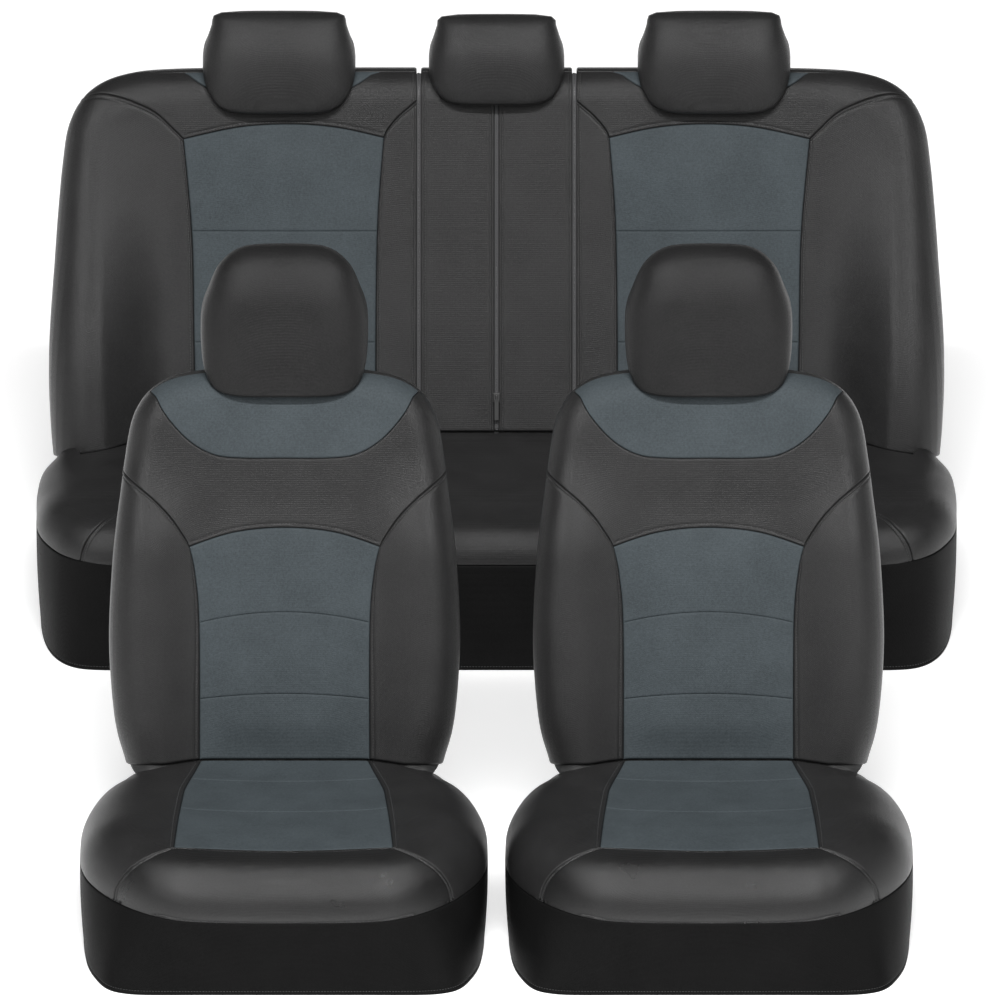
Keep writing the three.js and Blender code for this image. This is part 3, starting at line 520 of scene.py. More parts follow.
def cloth_material(name, colour, roughness, sheen=0.0, pitch=1.1 * MM, mottle=0.1, bump=0.5, specular=0.5):
    """Knitted cloth: a fine mesh of loops a pitch apart, with slight mottling in colour and gloss."""
    material, shader = principled(name, colour, roughness)
    shader.inputs["Sheen Weight"].default_value = sheen
    shader.inputs["Sheen Roughness"].default_value = 0.45
    shader.inputs["Sheen Tint"].default_value = (0.9, 0.95, 1, 1)
    shader.inputs["Specular IOR Level"].default_value = specular
    place = node(material, "ShaderNodeTexCoord")
    waves = [textured(material, place, "ShaderNodeTexWave", bands_direction=direction,
                      Scale=WAVE_PERIOD / pitch, Distortion=0.6, Detail=1, **{"Detail Scale": 2})
             for direction in ("X", "Y", "Z")]
    weave = node(material, "ShaderNodeMath", operation="ADD")
    pair = node(material, "ShaderNodeMath", operation="MAXIMUM")
    for wave, target, entry in zip(waves, (weave, pair, pair), (0, 0, 1)):
        link(material, wave, "Fac", target, entry)
    link(material, pair, "Value", weave, 1)
    fuzz = textured(material, place, "ShaderNodeTexNoise", Scale=900, Detail=2, Roughness=0.6)
    height = node(material, "ShaderNodeMath", operation="MULTIPLY_ADD")
    height.inputs[1].default_value = 0.5
    link(material, weave, "Value", height, 0)
    link(material, fuzz, "Fac", height, 2)
    add_bump(material, shader, height, "Value", bump, 0.6 * MM)
    cloud = textured(material, place, "ShaderNodeTexNoise", Scale=14, Detail=4, Roughness=0.55)
    grain = textured(material, place, "ShaderNodeTexNoise", Scale=330, Detail=2, Roughness=0.7)
    mixed = node(material, "ShaderNodeMix", data_type="FLOAT")
    mixed.inputs["Factor"].default_value = 0.6
    link(material, cloud, "Fac", mixed, 2)
    link(material, grain, "Fac", mixed, 3)
    add_colours(material, shader, mixed, 0, colour, (1 - mottle, 1 + mottle), (0.3, 0.7))
    add_roughness(material, shader, cloud, roughness, 0.05)
    return material


def plastic_material(name, colour, roughness):
    """Moulded plastic with a fine spark-eroded texture and slightly worn patches."""
    material, shader = principled(name, colour, roughness)
    place = node(material, "ShaderNodeTexCoord")
    noise = textured(material, place, "ShaderNodeTexNoise", Scale=700, Detail=3, Roughness=0.6)
    add_bump(material, shader, noise, "Fac", 0.2, 0.3 * MM)
    wear = textured(material, place, "ShaderNodeTexNoise", Scale=45, Detail=4, Roughness=0.6)
    add_colours(material, shader, wear, "Fac", colour, (0.85, 1.2))
    add_roughness(material, shader, wear, roughness, 0.08)
    return material


# The second colour is the black knit made darker for the front headrests: painted shade, not a different
# cloth
BLACK_KNIT, HEADREST_PAINTED_SHADE_KNIT = (0.0175, 0.0173, 0.0175), (0.0135, 0.0133, 0.0135)
SATIN_KNIT, SKIRT_KNIT = (0.0105, 0.0104, 0.0105), (0.0048, 0.0048, 0.0048)
ZIP_GREY = (0.06, 0.06, 0.062)
MATERIALS = {
    "black": cloth_material("black_knit", BLACK_KNIT, 0.34, mottle=0.36, specular=0.34),
    # the darker copy of the black knit for the front headrests, which is painted shade
    "headrest": cloth_material("black_headrest_knit", HEADREST_PAINTED_SHADE_KNIT, 0.36, mottle=0.36, specular=0.24),
    "satin": cloth_material("black_satin_knit", SATIN_KNIT, 0.29, mottle=0.4),
    "skirt": cloth_material("black_skirt_knit", SKIRT_KNIT, 0.55, mottle=0.4, specular=0.08),
    "grey": cloth_material("grey_knit", (0.05, 0.0605, 0.0665), 0.6, mottle=0.25, specular=0.15),
    "lining": cloth_material("lining", (0.09, 0.09, 0.09), 0.8, 0.1, 2.2 * MM),
    "elastic": cloth_material("elastic", (0.014, 0.014, 0.014), 0.6, 0.05, 1.6 * MM, bump=0.6),
    "webbing": cloth_material("webbing", (0.016, 0.016, 0.016), 0.6, 0.05, 1.9 * MM, bump=0.8),
    "thread": cloth_material("black_thread", (0.05, 0.05, 0.05), 0.45, 0.1, 0.6 * MM, bump=0.3),
    "grey_thread": cloth_material("grey_thread", (0.05, 0.06, 0.066), 0.45, 0.1, 0.6 * MM, bump=0.3),
    "tape": cloth_material("zipper_tape", ZIP_GREY, 0.7, 0.05, 0.9 * MM),
    "teeth": plastic_material("zipper_teeth", ZIP_GREY, 0.5),
    "slider": plastic_material("zipper_slider", (0.02, 0.02, 0.02), 0.5),
    "plastic": plastic_material("buckle_plastic", (0.014, 0.014, 0.015), 0.42),
}
SLOTS = {
    "black": "black_fabric", "headrest": "black_fabric", "satin": "black_fabric",
    "skirt": "black_fabric", "grey": "grey_fabric", "lining": "black_fabric",
    "elastic": "black_fabric", "webbing": "webbing", "thread": "black_fabric", "grey_thread": "grey_fabric",
    "tape": "zip_nylon", "teeth": "zip_nylon", "slider": "zip_nylon", "plastic": "buckle_plastic",
}

# ---- pieces ------------------------------------------------------------------------------------

PIECES = []


class Piece:
    """A sewn panel: one or more patches of cloth that move together and replace one solid."""

    def __init__(self, body, solid, kind, patches, name=None):
        self.body, self.solid, self.kind, self.patches = body, solid, kind, patches
        self.name = name or f"{solid}_panel"
        PIECES.append(self)


def declare(made, body, slot, *replaced):
    """Attach an object to the body that it rides on and hide the solids that it replaces. slot is not used.
    """
    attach(made, body)
    if replaced:
        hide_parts(*replaced)


def new_object(name, vertices, faces, materials, indices=None, smooth_faces=True):
    mesh = bpy.data.meshes.new(name)
    mesh.from_pydata([tuple(v) for v in vertices], [], [tuple(f) for f in faces])
    for kind in materials:
        mesh.materials.append(MATERIALS[kind])
    if indices is not None:
        mesh.polygons.foreach_set("material_index", np.asarray(indices, np.int32))
    if smooth_faces:
        mesh.polygons.foreach_set("use_smooth", np.ones(len(mesh.polygons), bool))
    mesh.update()
    made = bpy.data.objects.new(name, mesh)
    bpy.context.scene.collection.objects.link(made)
    return made


def grid_faces(rows, columns, start=0, flip=False):
    r, c = np.meshgrid(np.arange(rows - 1), np.arange(columns - 1), indexing="ij")
    a = (start + r * columns + c).ravel()
    quads = np.stack([a, a + 1, a + columns + 1, a + columns], axis=1)
    return quads[:, ::-1] if flip else quads


def border(rows, columns):
    """The vertices round a grid, in order."""
    index = np.arange(rows * columns).reshape(rows, columns)
    return np.concatenate([index[0, :-1], index[:-1, -1], index[-1, :0:-1], index[:0:-1, 0]])


def faces_in(grid, outward):
    """Whether the middle of a grid of points, read row by row, faces against a direction."""
    r, c = grid.shape[0] // 2, grid.shape[1] // 2
    across, up = grid[r, c + 1] - grid[r, c], grid[r + 1, c] - grid[r, c]
    return np.dot(np.cross(across, up), outward) < 0


def cloth_mesh(outer, inner):
    """Vertices, faces and material index of a closed cloth between two grids of points."""
    rows, columns = outer.shape[:2]
    count = rows * columns
    flip = faces_in(outer, (outer - inner)[rows // 2, columns // 2])
    top = grid_faces(rows, columns, 0, flip)
    bottom = grid_faces(rows, columns, count, not flip)
    ring = border(rows, columns)
    following = np.roll(ring, -1)
    sides = np.stack([ring, ring + count, following + count, following], axis=1)
    if flip:
        sides = sides[:, ::-1]
    faces = np.concatenate([top, bottom, sides])
    indices = np.concatenate([np.zeros(len(top)), np.ones(len(bottom)), np.zeros(len(sides))]).astype(int)
    return np.concatenate([outer.reshape(-1, 3), inner.reshape(-1, 3)]), faces, indices


PUFF_FRAMES = 20
PUFFING = dict(quality=6, mass=0.2, tension_stiffness=18, compression_stiffness=18, shear_stiffness=8,
               bending_stiffness=0.6, air_damping=3, use_pressure=True, uniform_pressure_force=2.2,
               shrink_min=-0.006, vertex_group_mass="seams")
QUICK_LIFT = 3 * MM


def relax(patches):
    """Puff every patch with a cloth simulation, held at its seams. Returns the lift of each patch."""
    rest, normals, faces, pinned, starts = [], [], [], [], []
    total = 0
    for patch in patches:
        columns, rows = patch.coarse
        u, v = np.linspace(0, 1, columns), np.linspace(0, 1, rows)
        _, outer, normal = patch.surface(u, v)
        flip = faces_in(outer, normal[rows // 2, columns // 2])
        rest.append(outer.reshape(-1, 3))
        normals.append(normal.reshape(-1, 3))
        faces.append(grid_faces(rows, columns, total, flip))
        pinned.append(total + border(rows, columns))
        starts.append(total)
        total += rows * columns
    points, normals = np.concatenate(rest), np.concatenate(normals)
    sheet = new_object("puffing", points, np.concatenate(faces), ["black"])
    group = sheet.vertex_groups.new(name="seams")
    group.add(np.concatenate(pinned).tolist(), 1.0, "REPLACE")
    cloth = sheet.modifiers.new("cloth", "CLOTH")
    for setting, value in PUFFING.items():
        setattr(cloth.settings, setting, value)
    cloth.settings.effector_weights.gravity = 0
    scene = bpy.context.scene
    for span in (scene, cloth.point_cache):
        span.frame_start, span.frame_end = 1, PUFF_FRAMES
    for step in range(1, PUFF_FRAMES + 1):
        scene.frame_set(step)
    done = sheet.evaluated_get(bpy.context.evaluated_depsgraph_get())
    moved = np.empty(total * 3)
    done.data.vertices.foreach_get("co", moved)
    moved = ((moved.reshape(-1, 3) - points) * normals).sum(1)
    scene.frame_set(1)
    bpy.data.objects.remove(sheet)
    lifts = []
    for patch, start in zip(patches, starts):
        columns, rows = patch.coarse
        if moved is None:
            u = np.sin(np.pi * np.linspace(0, 1, columns)) ** 0.4
            v = np.sin(np.pi * np.linspace(0, 1, rows)) ** 0.4
            lift = QUICK_LIFT * v[:, None] * u[None]
        else:
            lift = moved[start:start + columns * rows].reshape(rows, columns)
        lifts.append(PUFF_LIMIT * np.tanh(lift / PUFF_LIMIT))
    return lifts


THREAD, STITCH_PITCH, STITCH = 0.42 * MM, 4.4 * MM, 3.3 * MM      # radius, from stitch to stitch, length


def thread(points, normals):
    """A row of stitches along a line: vertices and faces of short threads that dip into the cloth."""
    run = walked(points)
    count = int(run[-1] / STITCH_PITCH)
    if count < 2:
        return np.zeros((0, 3)), np.zeros((0, 4), int)
    starts = (np.arange(count) + 0.12) * run[-1] / count
    along = np.linspace(0, 1, 4)
    where = (starts[:, None] + along[None] * STITCH).ravel()
    p, n = (np.stack([np.interp(where, run, values[:, k]) for k in range(3)], axis=1).reshape(count, 4, 3)
            for values in (points, normals))
    n = unit(n)
    ahead = unit(p[:, -1] - p[:, 0], TINY)
    side = np.cross(np.repeat(ahead[:, None], 4, axis=1), n)
    rise = np.array([-0.5, 0.55, 0.55, -0.5]) * THREAD
    width = np.array([0.45, 1, 1, 0.45]) * THREAD
    turns = np.arange(5) * 2 * math.pi / 5
    rings = (p[:, :, None] + n[:, :, None] * (rise[None, :, None, None]
             + np.sin(turns)[None, None, :, None] * width[None, :, None, None])
             + side[:, :, None] * np.cos(turns)[None, None, :, None] * width[None, :, None, None])
    base = np.arange(count)[:, None, None] * 20
    r, k = np.meshgrid(np.arange(3), np.arange(5), indexing="ij")
    a = (r * 5 + k)[None]
    b = (r * 5 + (k + 1) % 5)[None]
    faces = np.stack([base + a, base + b, base + b + 5, base + a + 5], axis=-1).reshape(-1, 4)
    return rings.reshape(-1, 3), faces


def tube(points, radius, sides=8):
    """A round band along a line, closed at its ends."""
    along = unit(np.gradient(points, axis=0), TINY)
    side = unit(np.cross(along, np.array([0.0, 0.0, 1.0])), TINY)
    up = np.cross(side, along)
    turns = np.arange(sides) * 2 * math.pi / sides
    rings = (points[:, None] + side[:, None] * (np.cos(turns) * radius)[None, :, None]
             + up[:, None] * (np.sin(turns) * radius)[None, :, None])
    count = len(points)
    faces = []
    for r in range(count - 1):
        for k in range(sides):
            n = (k + 1) % sides
            faces.append((r * sides + k, r * sides + n, (r + 1) * sides + n, (r + 1) * sides + k))
    faces.append(tuple(range(sides))[::-1])
    faces.append(tuple((count - 1) * sides + k for k in range(sides)))
    return rings.reshape(-1, 3), faces


def merged(parts):
    vertices, faces, total = [], [], 0
    for points, quads in parts:
        vertices.append(np.asarray(points).reshape(-1, 3))
        faces.extend([tuple(int(i) + total for i in f) for f in quads])
        total += len(vertices[-1])
    return np.concatenate(vertices), faces


TRIM = {}      # thread and bands, gathered by body and kind


def add_trim(body, kind, part, name):
    TRIM.setdefault((body, kind, name), []).append(part)


def finish_pieces():
    """Puff all the panels in one simulation, and make an object of each piece and its stitches."""
    patches = [patch for piece in PIECES for patch in piece.patches]
    for patch, lift in zip(patches, relax(patches)):
        patch.build(lift)
    for piece in PIECES:
        vertices, faces, indices, total = [], [], [], 0
        for patch in piece.patches:
            points, quads, index = cloth_mesh(patch.outer, patch.inner)
            vertices.append(points)
            faces.append(quads + total)
            indices.append(index)
            total += len(points)
            thread_kind = "grey_thread" if piece.kind == "grey" else "thread"
            for line, normals in patch.stitch_lines():
                add_trim(piece.body, thread_kind, thread(line, normals), "stitching")
        made = new_object(piece.name, np.concatenate(vertices), np.concatenate(faces),
                          [piece.kind, "lining"], np.concatenate(indices))
        dress(made, piece)


def dress(made, piece):
    """Attach a piece to its body and hide the solid that it replaces. The flat area of its patches on the
    layout is worked out but not used.
    """
    declare(made, piece.body, SLOTS[piece.kind], piece.solid)
    flats = [patch.grid.reshape(-1, 2) for patch in piece.patches]
    area = sum(patch.flat_area() for patch in piece.patches)


def finish_trim():
    """Make one object of all the trim of a kind on a body."""
    for (body, kind, name), parts in TRIM.items():
        vertices, faces = merged(parts)
        label = f"{body}_{kind}_{name}".replace("_thread_stitching", "_stitching")
        declare(new_object(label, vertices, faces, [kind]), body, SLOTS[kind])


# ---- the shapes of the seats -------------------------------------------------------------------

SKIRT_BULGE = 2 * MM
SKIRT_START = 24 * MM
BAND, BAND_DEPTH, BAND_LEVEL = 2.6 * MM, 3.4 * MM, 3.2 * MM       # the elastic in a hem: radius and place
BAG_BAND, BAG_BAND_DEPTH, BAG_BAND_LEVEL = 2.2 * MM, 2.5 * MM, 1.0 * MM
GAP = 0.3 * MM                  # between neighbouring panels in a seam
# lean in degrees; the crease's place behind the front edge and above the floor; the heights of the skirt's
# seam and of the cushion's top; the gap under the backrest's foot; the radii of the backrest's edge and of
# the cushion's nose; and between which two places a bolster's foot turns up into its side
FRONT = dict(lean=20, crease_y=0.498, crease_z=0.160, seam_z=0.113, top_z=0.193, foot_gap=0.001,
             edge=0.045, nose=0.080, turn=(0.180, 0.214))
REAR = dict(lean=22, crease_y=0.473, crease_z=0.184, seam_z=0.168, top_z=0.220, foot_gap=0.001,
            edge=0.048, nose=0.052, turn=(0.600, 0.636))
WALL, BACK_RADIUS = 0.034, 0.026
RIDGE, YOKE_TIP = 0.72, 0.96      # how far round the top edge the crest and the yoke's tips lie
BACK_HEM = 0.230                # the hem behind, above the crease, which rises in the middle of a front seat
HEM_HALF, HEM_RISE, REAR_HEM_HALF, ZIP_HEM_RISE = 0.17, 0.034, 0.6, 0.02
CLEAR = 0.005                   # share of a seam left without stitches where another seam meets it

OUTLINES = {
    "front_back": [(218, -60), (233, 0), (249, 64), (257, 188), (249, 337), (240, 440), (222, 521),
                   (176, 566), (90, 583), (0, 585)],
    "front_seat": [(228, -60), (245, 0), (280, 70), (299, 145), (304, 215), (301, 298), (281, 360),
                   (240, 420), (192, 460), (130, 481), (0, 487)],
    "front_hem": [(256, 20), (270, 80), (286, 160), (296, 250), (298, 313), (292, 395), (278, 447),
                  (261, 479), (236, 493), (200, 498), (120, 498), (0, 498)],
    "rear_back": [(636, -90), (645, 0), (650, 110), (652, 215), (654, 330), (652, 405), (643, 468),
                  (614, 514), (563, 541), (490, 550), (300, 552), (0, 552)],
    "rear_seat": [(646, -60), (662, 40), (687, 115), (695, 180), (696, 250), (693, 339), (670, 401),
                  (641, 434), (600, 453), (545, 460), (470, 461), (340, 461), (160, 461), (0, 461)],
    "rear_hem": [(646, 20), (670, 90), (688, 200), (690, 263), (687, 339), (678, 398), (661, 440),
                 (636, 465), (600, 473), (540, 473), (440, 473), (240, 473), (0, 473)],
}

FRONT_SEAMS = {
    "insert_side": [(127, 0), (127.5, 200), (134, 280), (142.5, 319.5)],
    "arch": [(-142.5, 319.5), (-75, 341), (0, 348), (75, 341), (142.5, 319.5)],
    "shoulder": [(142.5, 319.5), (148, 331), (172, 366), (206, 400), (241, 429)],
    "yoke": [(195, 549), (178, 517), (144, 479), (105, 457), (60, 452), (0, 452)],
    "seat_insert_side": [(125, 0), (146, 110), (152, 180), (163, 389)],
    "seat_nose": [(-163, 389), (0, 401), (163, 389)],
    "seat_corner": [(163, 389), (186, 398), (210, 403), (238, 405), (262, 405)],
}
REAR_SEAMS = {
    "insert_inner": [(184, 0), (183, 200), (180, 330), (171, 447)],
    "insert_outer": [(456, 0), (459, 150), (462, 300), (475, 445)],
    "arch": [(171, 447), (240, 462), (311, 467.5), (390, 463), (475, 445)],
    "inner": [(121, 503), (147, 481), (165, 460), (171, 447)],
    "outer": [(475, 445), (490, 460), (517, 485), (551, 501), (586, 507), (612, 504)],
    "yoke": [(183, 549), (235, 518), (330, 506), (425, 518), (475, 549)],
    "seat_inner": [(150, 0), (154, 370)],
    "seat_outer": [(456, 0), (462, 200), (474, 368)],
    "seat_nose": [(154, 370), (310, 370), (474, 368)],
    "seat_corner": [(474, 368), (530, 360), (561, 371), (582, 392), (602, 420), (622, 438), (641, 451)],
}
ZIPPERS = {"left": -0.118, "centre": 0.0, "right": 0.118}
ZIP_HALF = 3 * MM
ZIP_EDGE = ZIPPERS["right"] + ZIP_HALF


def front_back_relief(x, up):
    x, up = np.abs(x) / MM, up / MM
    bolster = 26 * smooth(110, 215, x) * (1 - smooth(300, 470, up))
    crown = 8 * (1 - smooth(60, 140, x)) * smooth(0, 60, up) * (1 - smooth(280, 400, up))
    return (bolster + crown) * MM


def front_seat_relief(x, ahead):
    x, ahead = np.abs(x) / MM, ahead / MM
    bolster = 7 * smooth(120, 220, x) * smooth(0, 90, ahead) * (1 - smooth(260, 390, ahead))
    return (bolster - 33 * (1 - smooth(0, 380, ahead))) * MM


def rear_back_relief(x, up):
    x, up = np.abs(x) / MM, up / MM
    bolster = 84 * smooth(480, 640, x) * (1 - 0.7 * smooth(60, 480, up))
    across = np.clip((x - 121) / (470 - 121), 0, 1)
    crown = 9 * np.sin(math.pi * across) ** 2 * smooth(0, 60, up) * (1 - smooth(380, 480, up))
    return (bolster + crown) * MM


def bench_seat_relief(x, ahead):
    return -36 * MM * (1 - smooth(0, 0.370, ahead)) + 0 * x


def foot_edge(form, size):
    """A backrest's lower edge at each x, cut level so that it meets the cushion."""
    slope = math.tan(math.radians(size["lean"]))
    return lambda x: form.unroll(np.stack([x, size["foot_gap"] - slope * form.relief(x, 0 * x)], axis=1))


def rear_edge(form, back, size):
    """A cushion's rear edge at each x, which follows the face of the backrest."""
    slope = math.cos(math.radians(size["lean"]))
    return lambda x: form.unroll(np.stack([x, 0.0008 + back.relief(x, 0 * x) / slope], axis=1))


def foot_corner(edge_of, edge, side, x0, size):
    """A bolster's lower edge, from x0, which turns up into the side edge."""
    level = line_at(edge_of, side * x0, side * size["turn"][0])
    turn = edge_of(np.array([side * size["turn"][1]]))
    return joined(level, catmull(joined(level[-8:-7], level[-1:], turn + [[0, 0.004]], edge[:1]),
                                 np.linspace(1 / 3, 1, 24))[1:])


def behind(form, outline, place):
    """The form of a backrest's rear face, seen from behind."""
    depth = form.radius + form.wall + form.back_radius
    return Form(OUTLINES[outline], form.back_radius, form.wall, form.radius, lambda x, y: 0 * x,
                lambda x, up, out: place(-x, up, -depth - out))


def sided(side, bottom, top, left, right, depths=None, stitched=(), **more):
    """The seams of a panel on the right, or of its mirror image on the left."""
    if side > 0:
        return dict(bottom=bottom, top=top, left=left, right=right, depths=depths, stitched=stitched, **more)
    swap = {"left": "right", "right": "left", "top": "top", "bottom": "bottom"}
    if depths:
        depths = [depths[0], depths[1], depths[3], depths[2]]
    if "knots" in more:
        more["knots"] = [1 - k for k in more["knots"]]
    if "spans" in more:
        more["spans"] = {swap[edge]: (1 - b, 1 - a) if edge in ("bottom", "top") else (a, b)
                         for edge, (a, b) in more["spans"].items()}
    return dict(bottom=bottom[::-1], top=top[::-1], left=right, right=left, depths=depths,
                stitched=[swap[edge] for edge in stitched], **more)


def sided_seams(side, bottom, top, inner, outer):
    """A panel's four seams in order, from those of the panel on the right."""
    return (bottom, top, inner, outer) if side > 0 else (bottom[::-1], top[::-1], outer, inner)


def level_share(curve, level):
    """How far along a seam it reaches a distance from the crease."""
    run = walked(curve)
    return float(np.interp(level, curve[:, 1], run) / run[-1])


CHANNELS = {    # each sewn channel's distance from the crease, at its ends and at its middle
    "front_back": [(0.091, 0.0995), (0.2055, 0.222)],
    "front_seat": [(0.075, 0.088), (0.222, 0.238)],
    "rear_back": [(0.1368, 0.1368), (0.3055, 0.3055)],
    "rear_seat": [(0.125, 0.13), (0.25, 0.255)],
}


def channelled(form, bottom, top, left, right, levels):
    """A panel crossed by sewn channels, which makes one patch between each two of them."""
    shares = [(level_share(left, end), level_share(right, end), middle - end) for end, middle in levels]
    marks = [(0, 0), *[(a, b) for a, b, _ in shares], (1, 1)]
    lines = [bottom]
    t = np.linspace(-1, 1, 65)[:, None]
    for a, b, sag in shares:
        start, end = at_shares(left, [a])[0], at_shares(right, [b])[0]
        lines.append(start + (end - start) * (t + 1) / 2 + np.array([0, 1]) * sag * (1 - t**2))
    lines.append(top)
    patches = []
    for i in range(len(lines) - 1):
        depths = [SEAM_DEPTH if i == 0 else CHANNEL_DEPTH,
                  SEAM_DEPTH if i == len(lines) - 2 else CHANNEL_DEPTH, SEAM_DEPTH, SEAM_DEPTH]
        patches.append(Patch(form, lines[i], lines[i + 1], cut(left, marks[i][0], marks[i + 1][0]),
                             cut(right, marks[i][1], marks[i + 1][1]), depths=depths))
    return patches


class Skirt:
    """The cloth that hangs from the seam round a cushion's top to the hem. Its points are
    (distance round, height)."""

    def __init__(self, form, hem, size, place):
        self.form, self.size, self.place = form, size, place
        self.hem = full_outline(OUTLINES[hem])
        self.first = form.share(lambda x, y: y > SKIRT_START)
        self.length = length_of(form.rim_line(self.first, 1 - self.first, form.radius))

    def lay(self, points, depth=0.0):
        t = np.clip(points[:, 0] / self.length, 0, 1)
        v = points[:, 1] / self.size["seam_z"]
        share = self.first + (1 - 2 * self.first) * t
        top = self.form.rim(share, self.form.radius)
        normal = self.form.rim(share, 1.0) - self.form.rim(share, 0.0)
        at = t * (len(self.hem) - 1)
        low = np.stack([np.interp(at, np.arange(len(self.hem)), self.hem[:, k]) for k in (0, 1)], axis=1)
        bulge = SKIRT_BULGE * np.sin(math.pi * np.clip(v, 0, 1)) - depth
        flat = low + (top - low) * v[:, None] + normal * bulge[:, None]
        return self.place(flat[:, 0], flat[:, 1], points[:, 1] - self.size["top_z"])

    def patch(self):
        high = self.size["seam_z"] - GAP
        line = lambda y: np.stack([np.linspace(0, self.length, 200), np.full(200, y)], axis=1)
        end = lambda x: np.array([[x, 0], [x, high]])
        return Patch(self, line(0), line(high), end(0), end(self.length),
                     depths=[HEM_DEPTH, SEAM_DEPTH, HEM_DEPTH, HEM_DEPTH], stitched=["bottom"], puff=0.7)


# ---- front seats -------------------------------------------------------------------------------


def front_back(name, body, place):
    form = Form(OUTLINES["front_back"], FRONT["edge"], WALL, BACK_RADIUS, front_back_relief, place)
    back_seam = form.back_seam
    above = lambda level: form.share(lambda x, y: y > level)
    shoulder, corner, yoke_corner, foot = (above(level) for level in (0.436, 0.503, 0.516, 0.010))
    edge_of = foot_edge(form, FRONT)
    insert = FRONT_SEAMS["insert_side"]
    insert_x = insert[0][0] * MM
    side_seam = {s: from_edge(form, edge_of, insert, s) for s in (-1, 1)}
    arch = seam(form, FRONT_SEAMS["arch"])
    Piece(body, f"{name}_back_insert", "grey", channelled(
        form, line_at(edge_of, -insert_x, insert_x), arch, side_seam[-1], side_seam[1],
        CHANNELS["front_back"]))
    shoulder_seam = {s: joined(seam(form, FRONT_SEAMS["shoulder"], s), form.rim(on(s, shoulder), back_seam))
                     for s in (-1, 1)}
    for side, label in SIDES:
        edge = form.rim_line(on(side, foot), on(side, shoulder), back_seam)
        Piece(body, f"{name}_back_bolster_{label}", "black", [
            Patch(form, **sided(side, foot_corner(edge_of, edge, side, insert_x, FRONT),
                                shoulder_seam[side], side_seam[side], edge, stitched=["left", "top"]))])
    tip = form.round * YOKE_TIP
    ridge = {s: form.rim_line(on(s, yoke_corner), 0.5, tip, form.round * RIDGE) for s in (-1, 1)}
    yoke_half = {s: joined(ridge[s][:1], seam(form, FRONT_SEAMS["yoke"], s)[3:]) for s in (-1, 1)}
    yoke_low = joined(yoke_half[-1], yoke_half[1][::-1][1:])
    corner_edge = {s: form.rim_line(on(s, corner), on(s, yoke_corner), back_seam, tip) for s in (-1, 1)}
    chest_side = {s: form.rim_line(on(s, shoulder), on(s, corner), back_seam) for s in (-1, 1)}
    low = joined(shoulder_seam[-1][::-1], arch[1:-1], shoulder_seam[1])
    before, total = length_of(shoulder_seam[-1]), length_of(low)
    first = before / total
    Piece(body, f"{name}_back_chest", "black", [
        Patch(form, low, joined(corner_edge[-1], yoke_low[1:-1], corner_edge[1][::-1]),
              chest_side[-1], chest_side[1], stitched=["bottom"], knots=[first, 1 - first],
              spans={"bottom": (first + CLEAR, 1 - CLEAR - first)})])
    crest = joined(ridge[-1], ridge[1][::-1][1:])
    Piece(body, f"{name}_back_yoke", "grey", [
        Patch(form, yoke_low, crest, np.repeat(crest[:1], 4, axis=0), np.repeat(crest[-1:], 4, axis=0))])

    rear = behind(form, "front_back", place)
    turn = rear.round
    hem = rear.share(lambda x, y: y > BACK_HEM)
    tip_reach = turn + WALL + form.round - tip
    ridge_reach = turn + WALL + form.round * (1 - RIDGE)
    side_edge = {s: rear.rim_line(on(s, hem), on(s, corner), turn) for s in (-1, 1)}
    half = {s: joined(rear.rim_line(on(s, corner), on(s, yoke_corner), turn, tip_reach),
                      rear.rim_line(on(s, yoke_corner), 0.5, tip_reach, ridge_reach)[1:]) for s in (-1, 1)}
    arc = [(-HEM_HALF, BACK_HEM), (0, BACK_HEM + HEM_RISE), (HEM_HALF, BACK_HEM)]
    hem_line = joined(side_edge[-1][:1], spline(np.array(arc)), side_edge[1][:1])
    panel = Patch(rear, hem_line, joined(half[-1], half[1][::-1][1:]), side_edge[-1], side_edge[1],
                  depths=[HEM_DEPTH, SEAM_DEPTH, SEAM_DEPTH, SEAM_DEPTH], stitched=["bottom"])
    Piece(body, f"{name}_back_panel", "black", [panel], f"{name}_back_rear_panel")
    hem_band(body, rear, hem_line)
    return form


def hem_band(body, form, line):
    """An elastic band sewn inside a hem."""
    points = at_shares(line, np.linspace(0.01, 0.99, 120))
    add_trim(body, "elastic", tube(form.lay(points, BAND_DEPTH), BAND), "hem")


def skirt_band(body, skirt):
    hem_band(body, skirt, np.stack([np.linspace(0, skirt.length, 200), np.full(200, BAND_LEVEL)], axis=1))


def nose_share(form, limit):
    """How far round a cushion's outline its front comes within a limit of the middle."""
    return form.share(lambda x, y: (x < limit) & (y > 0.2))


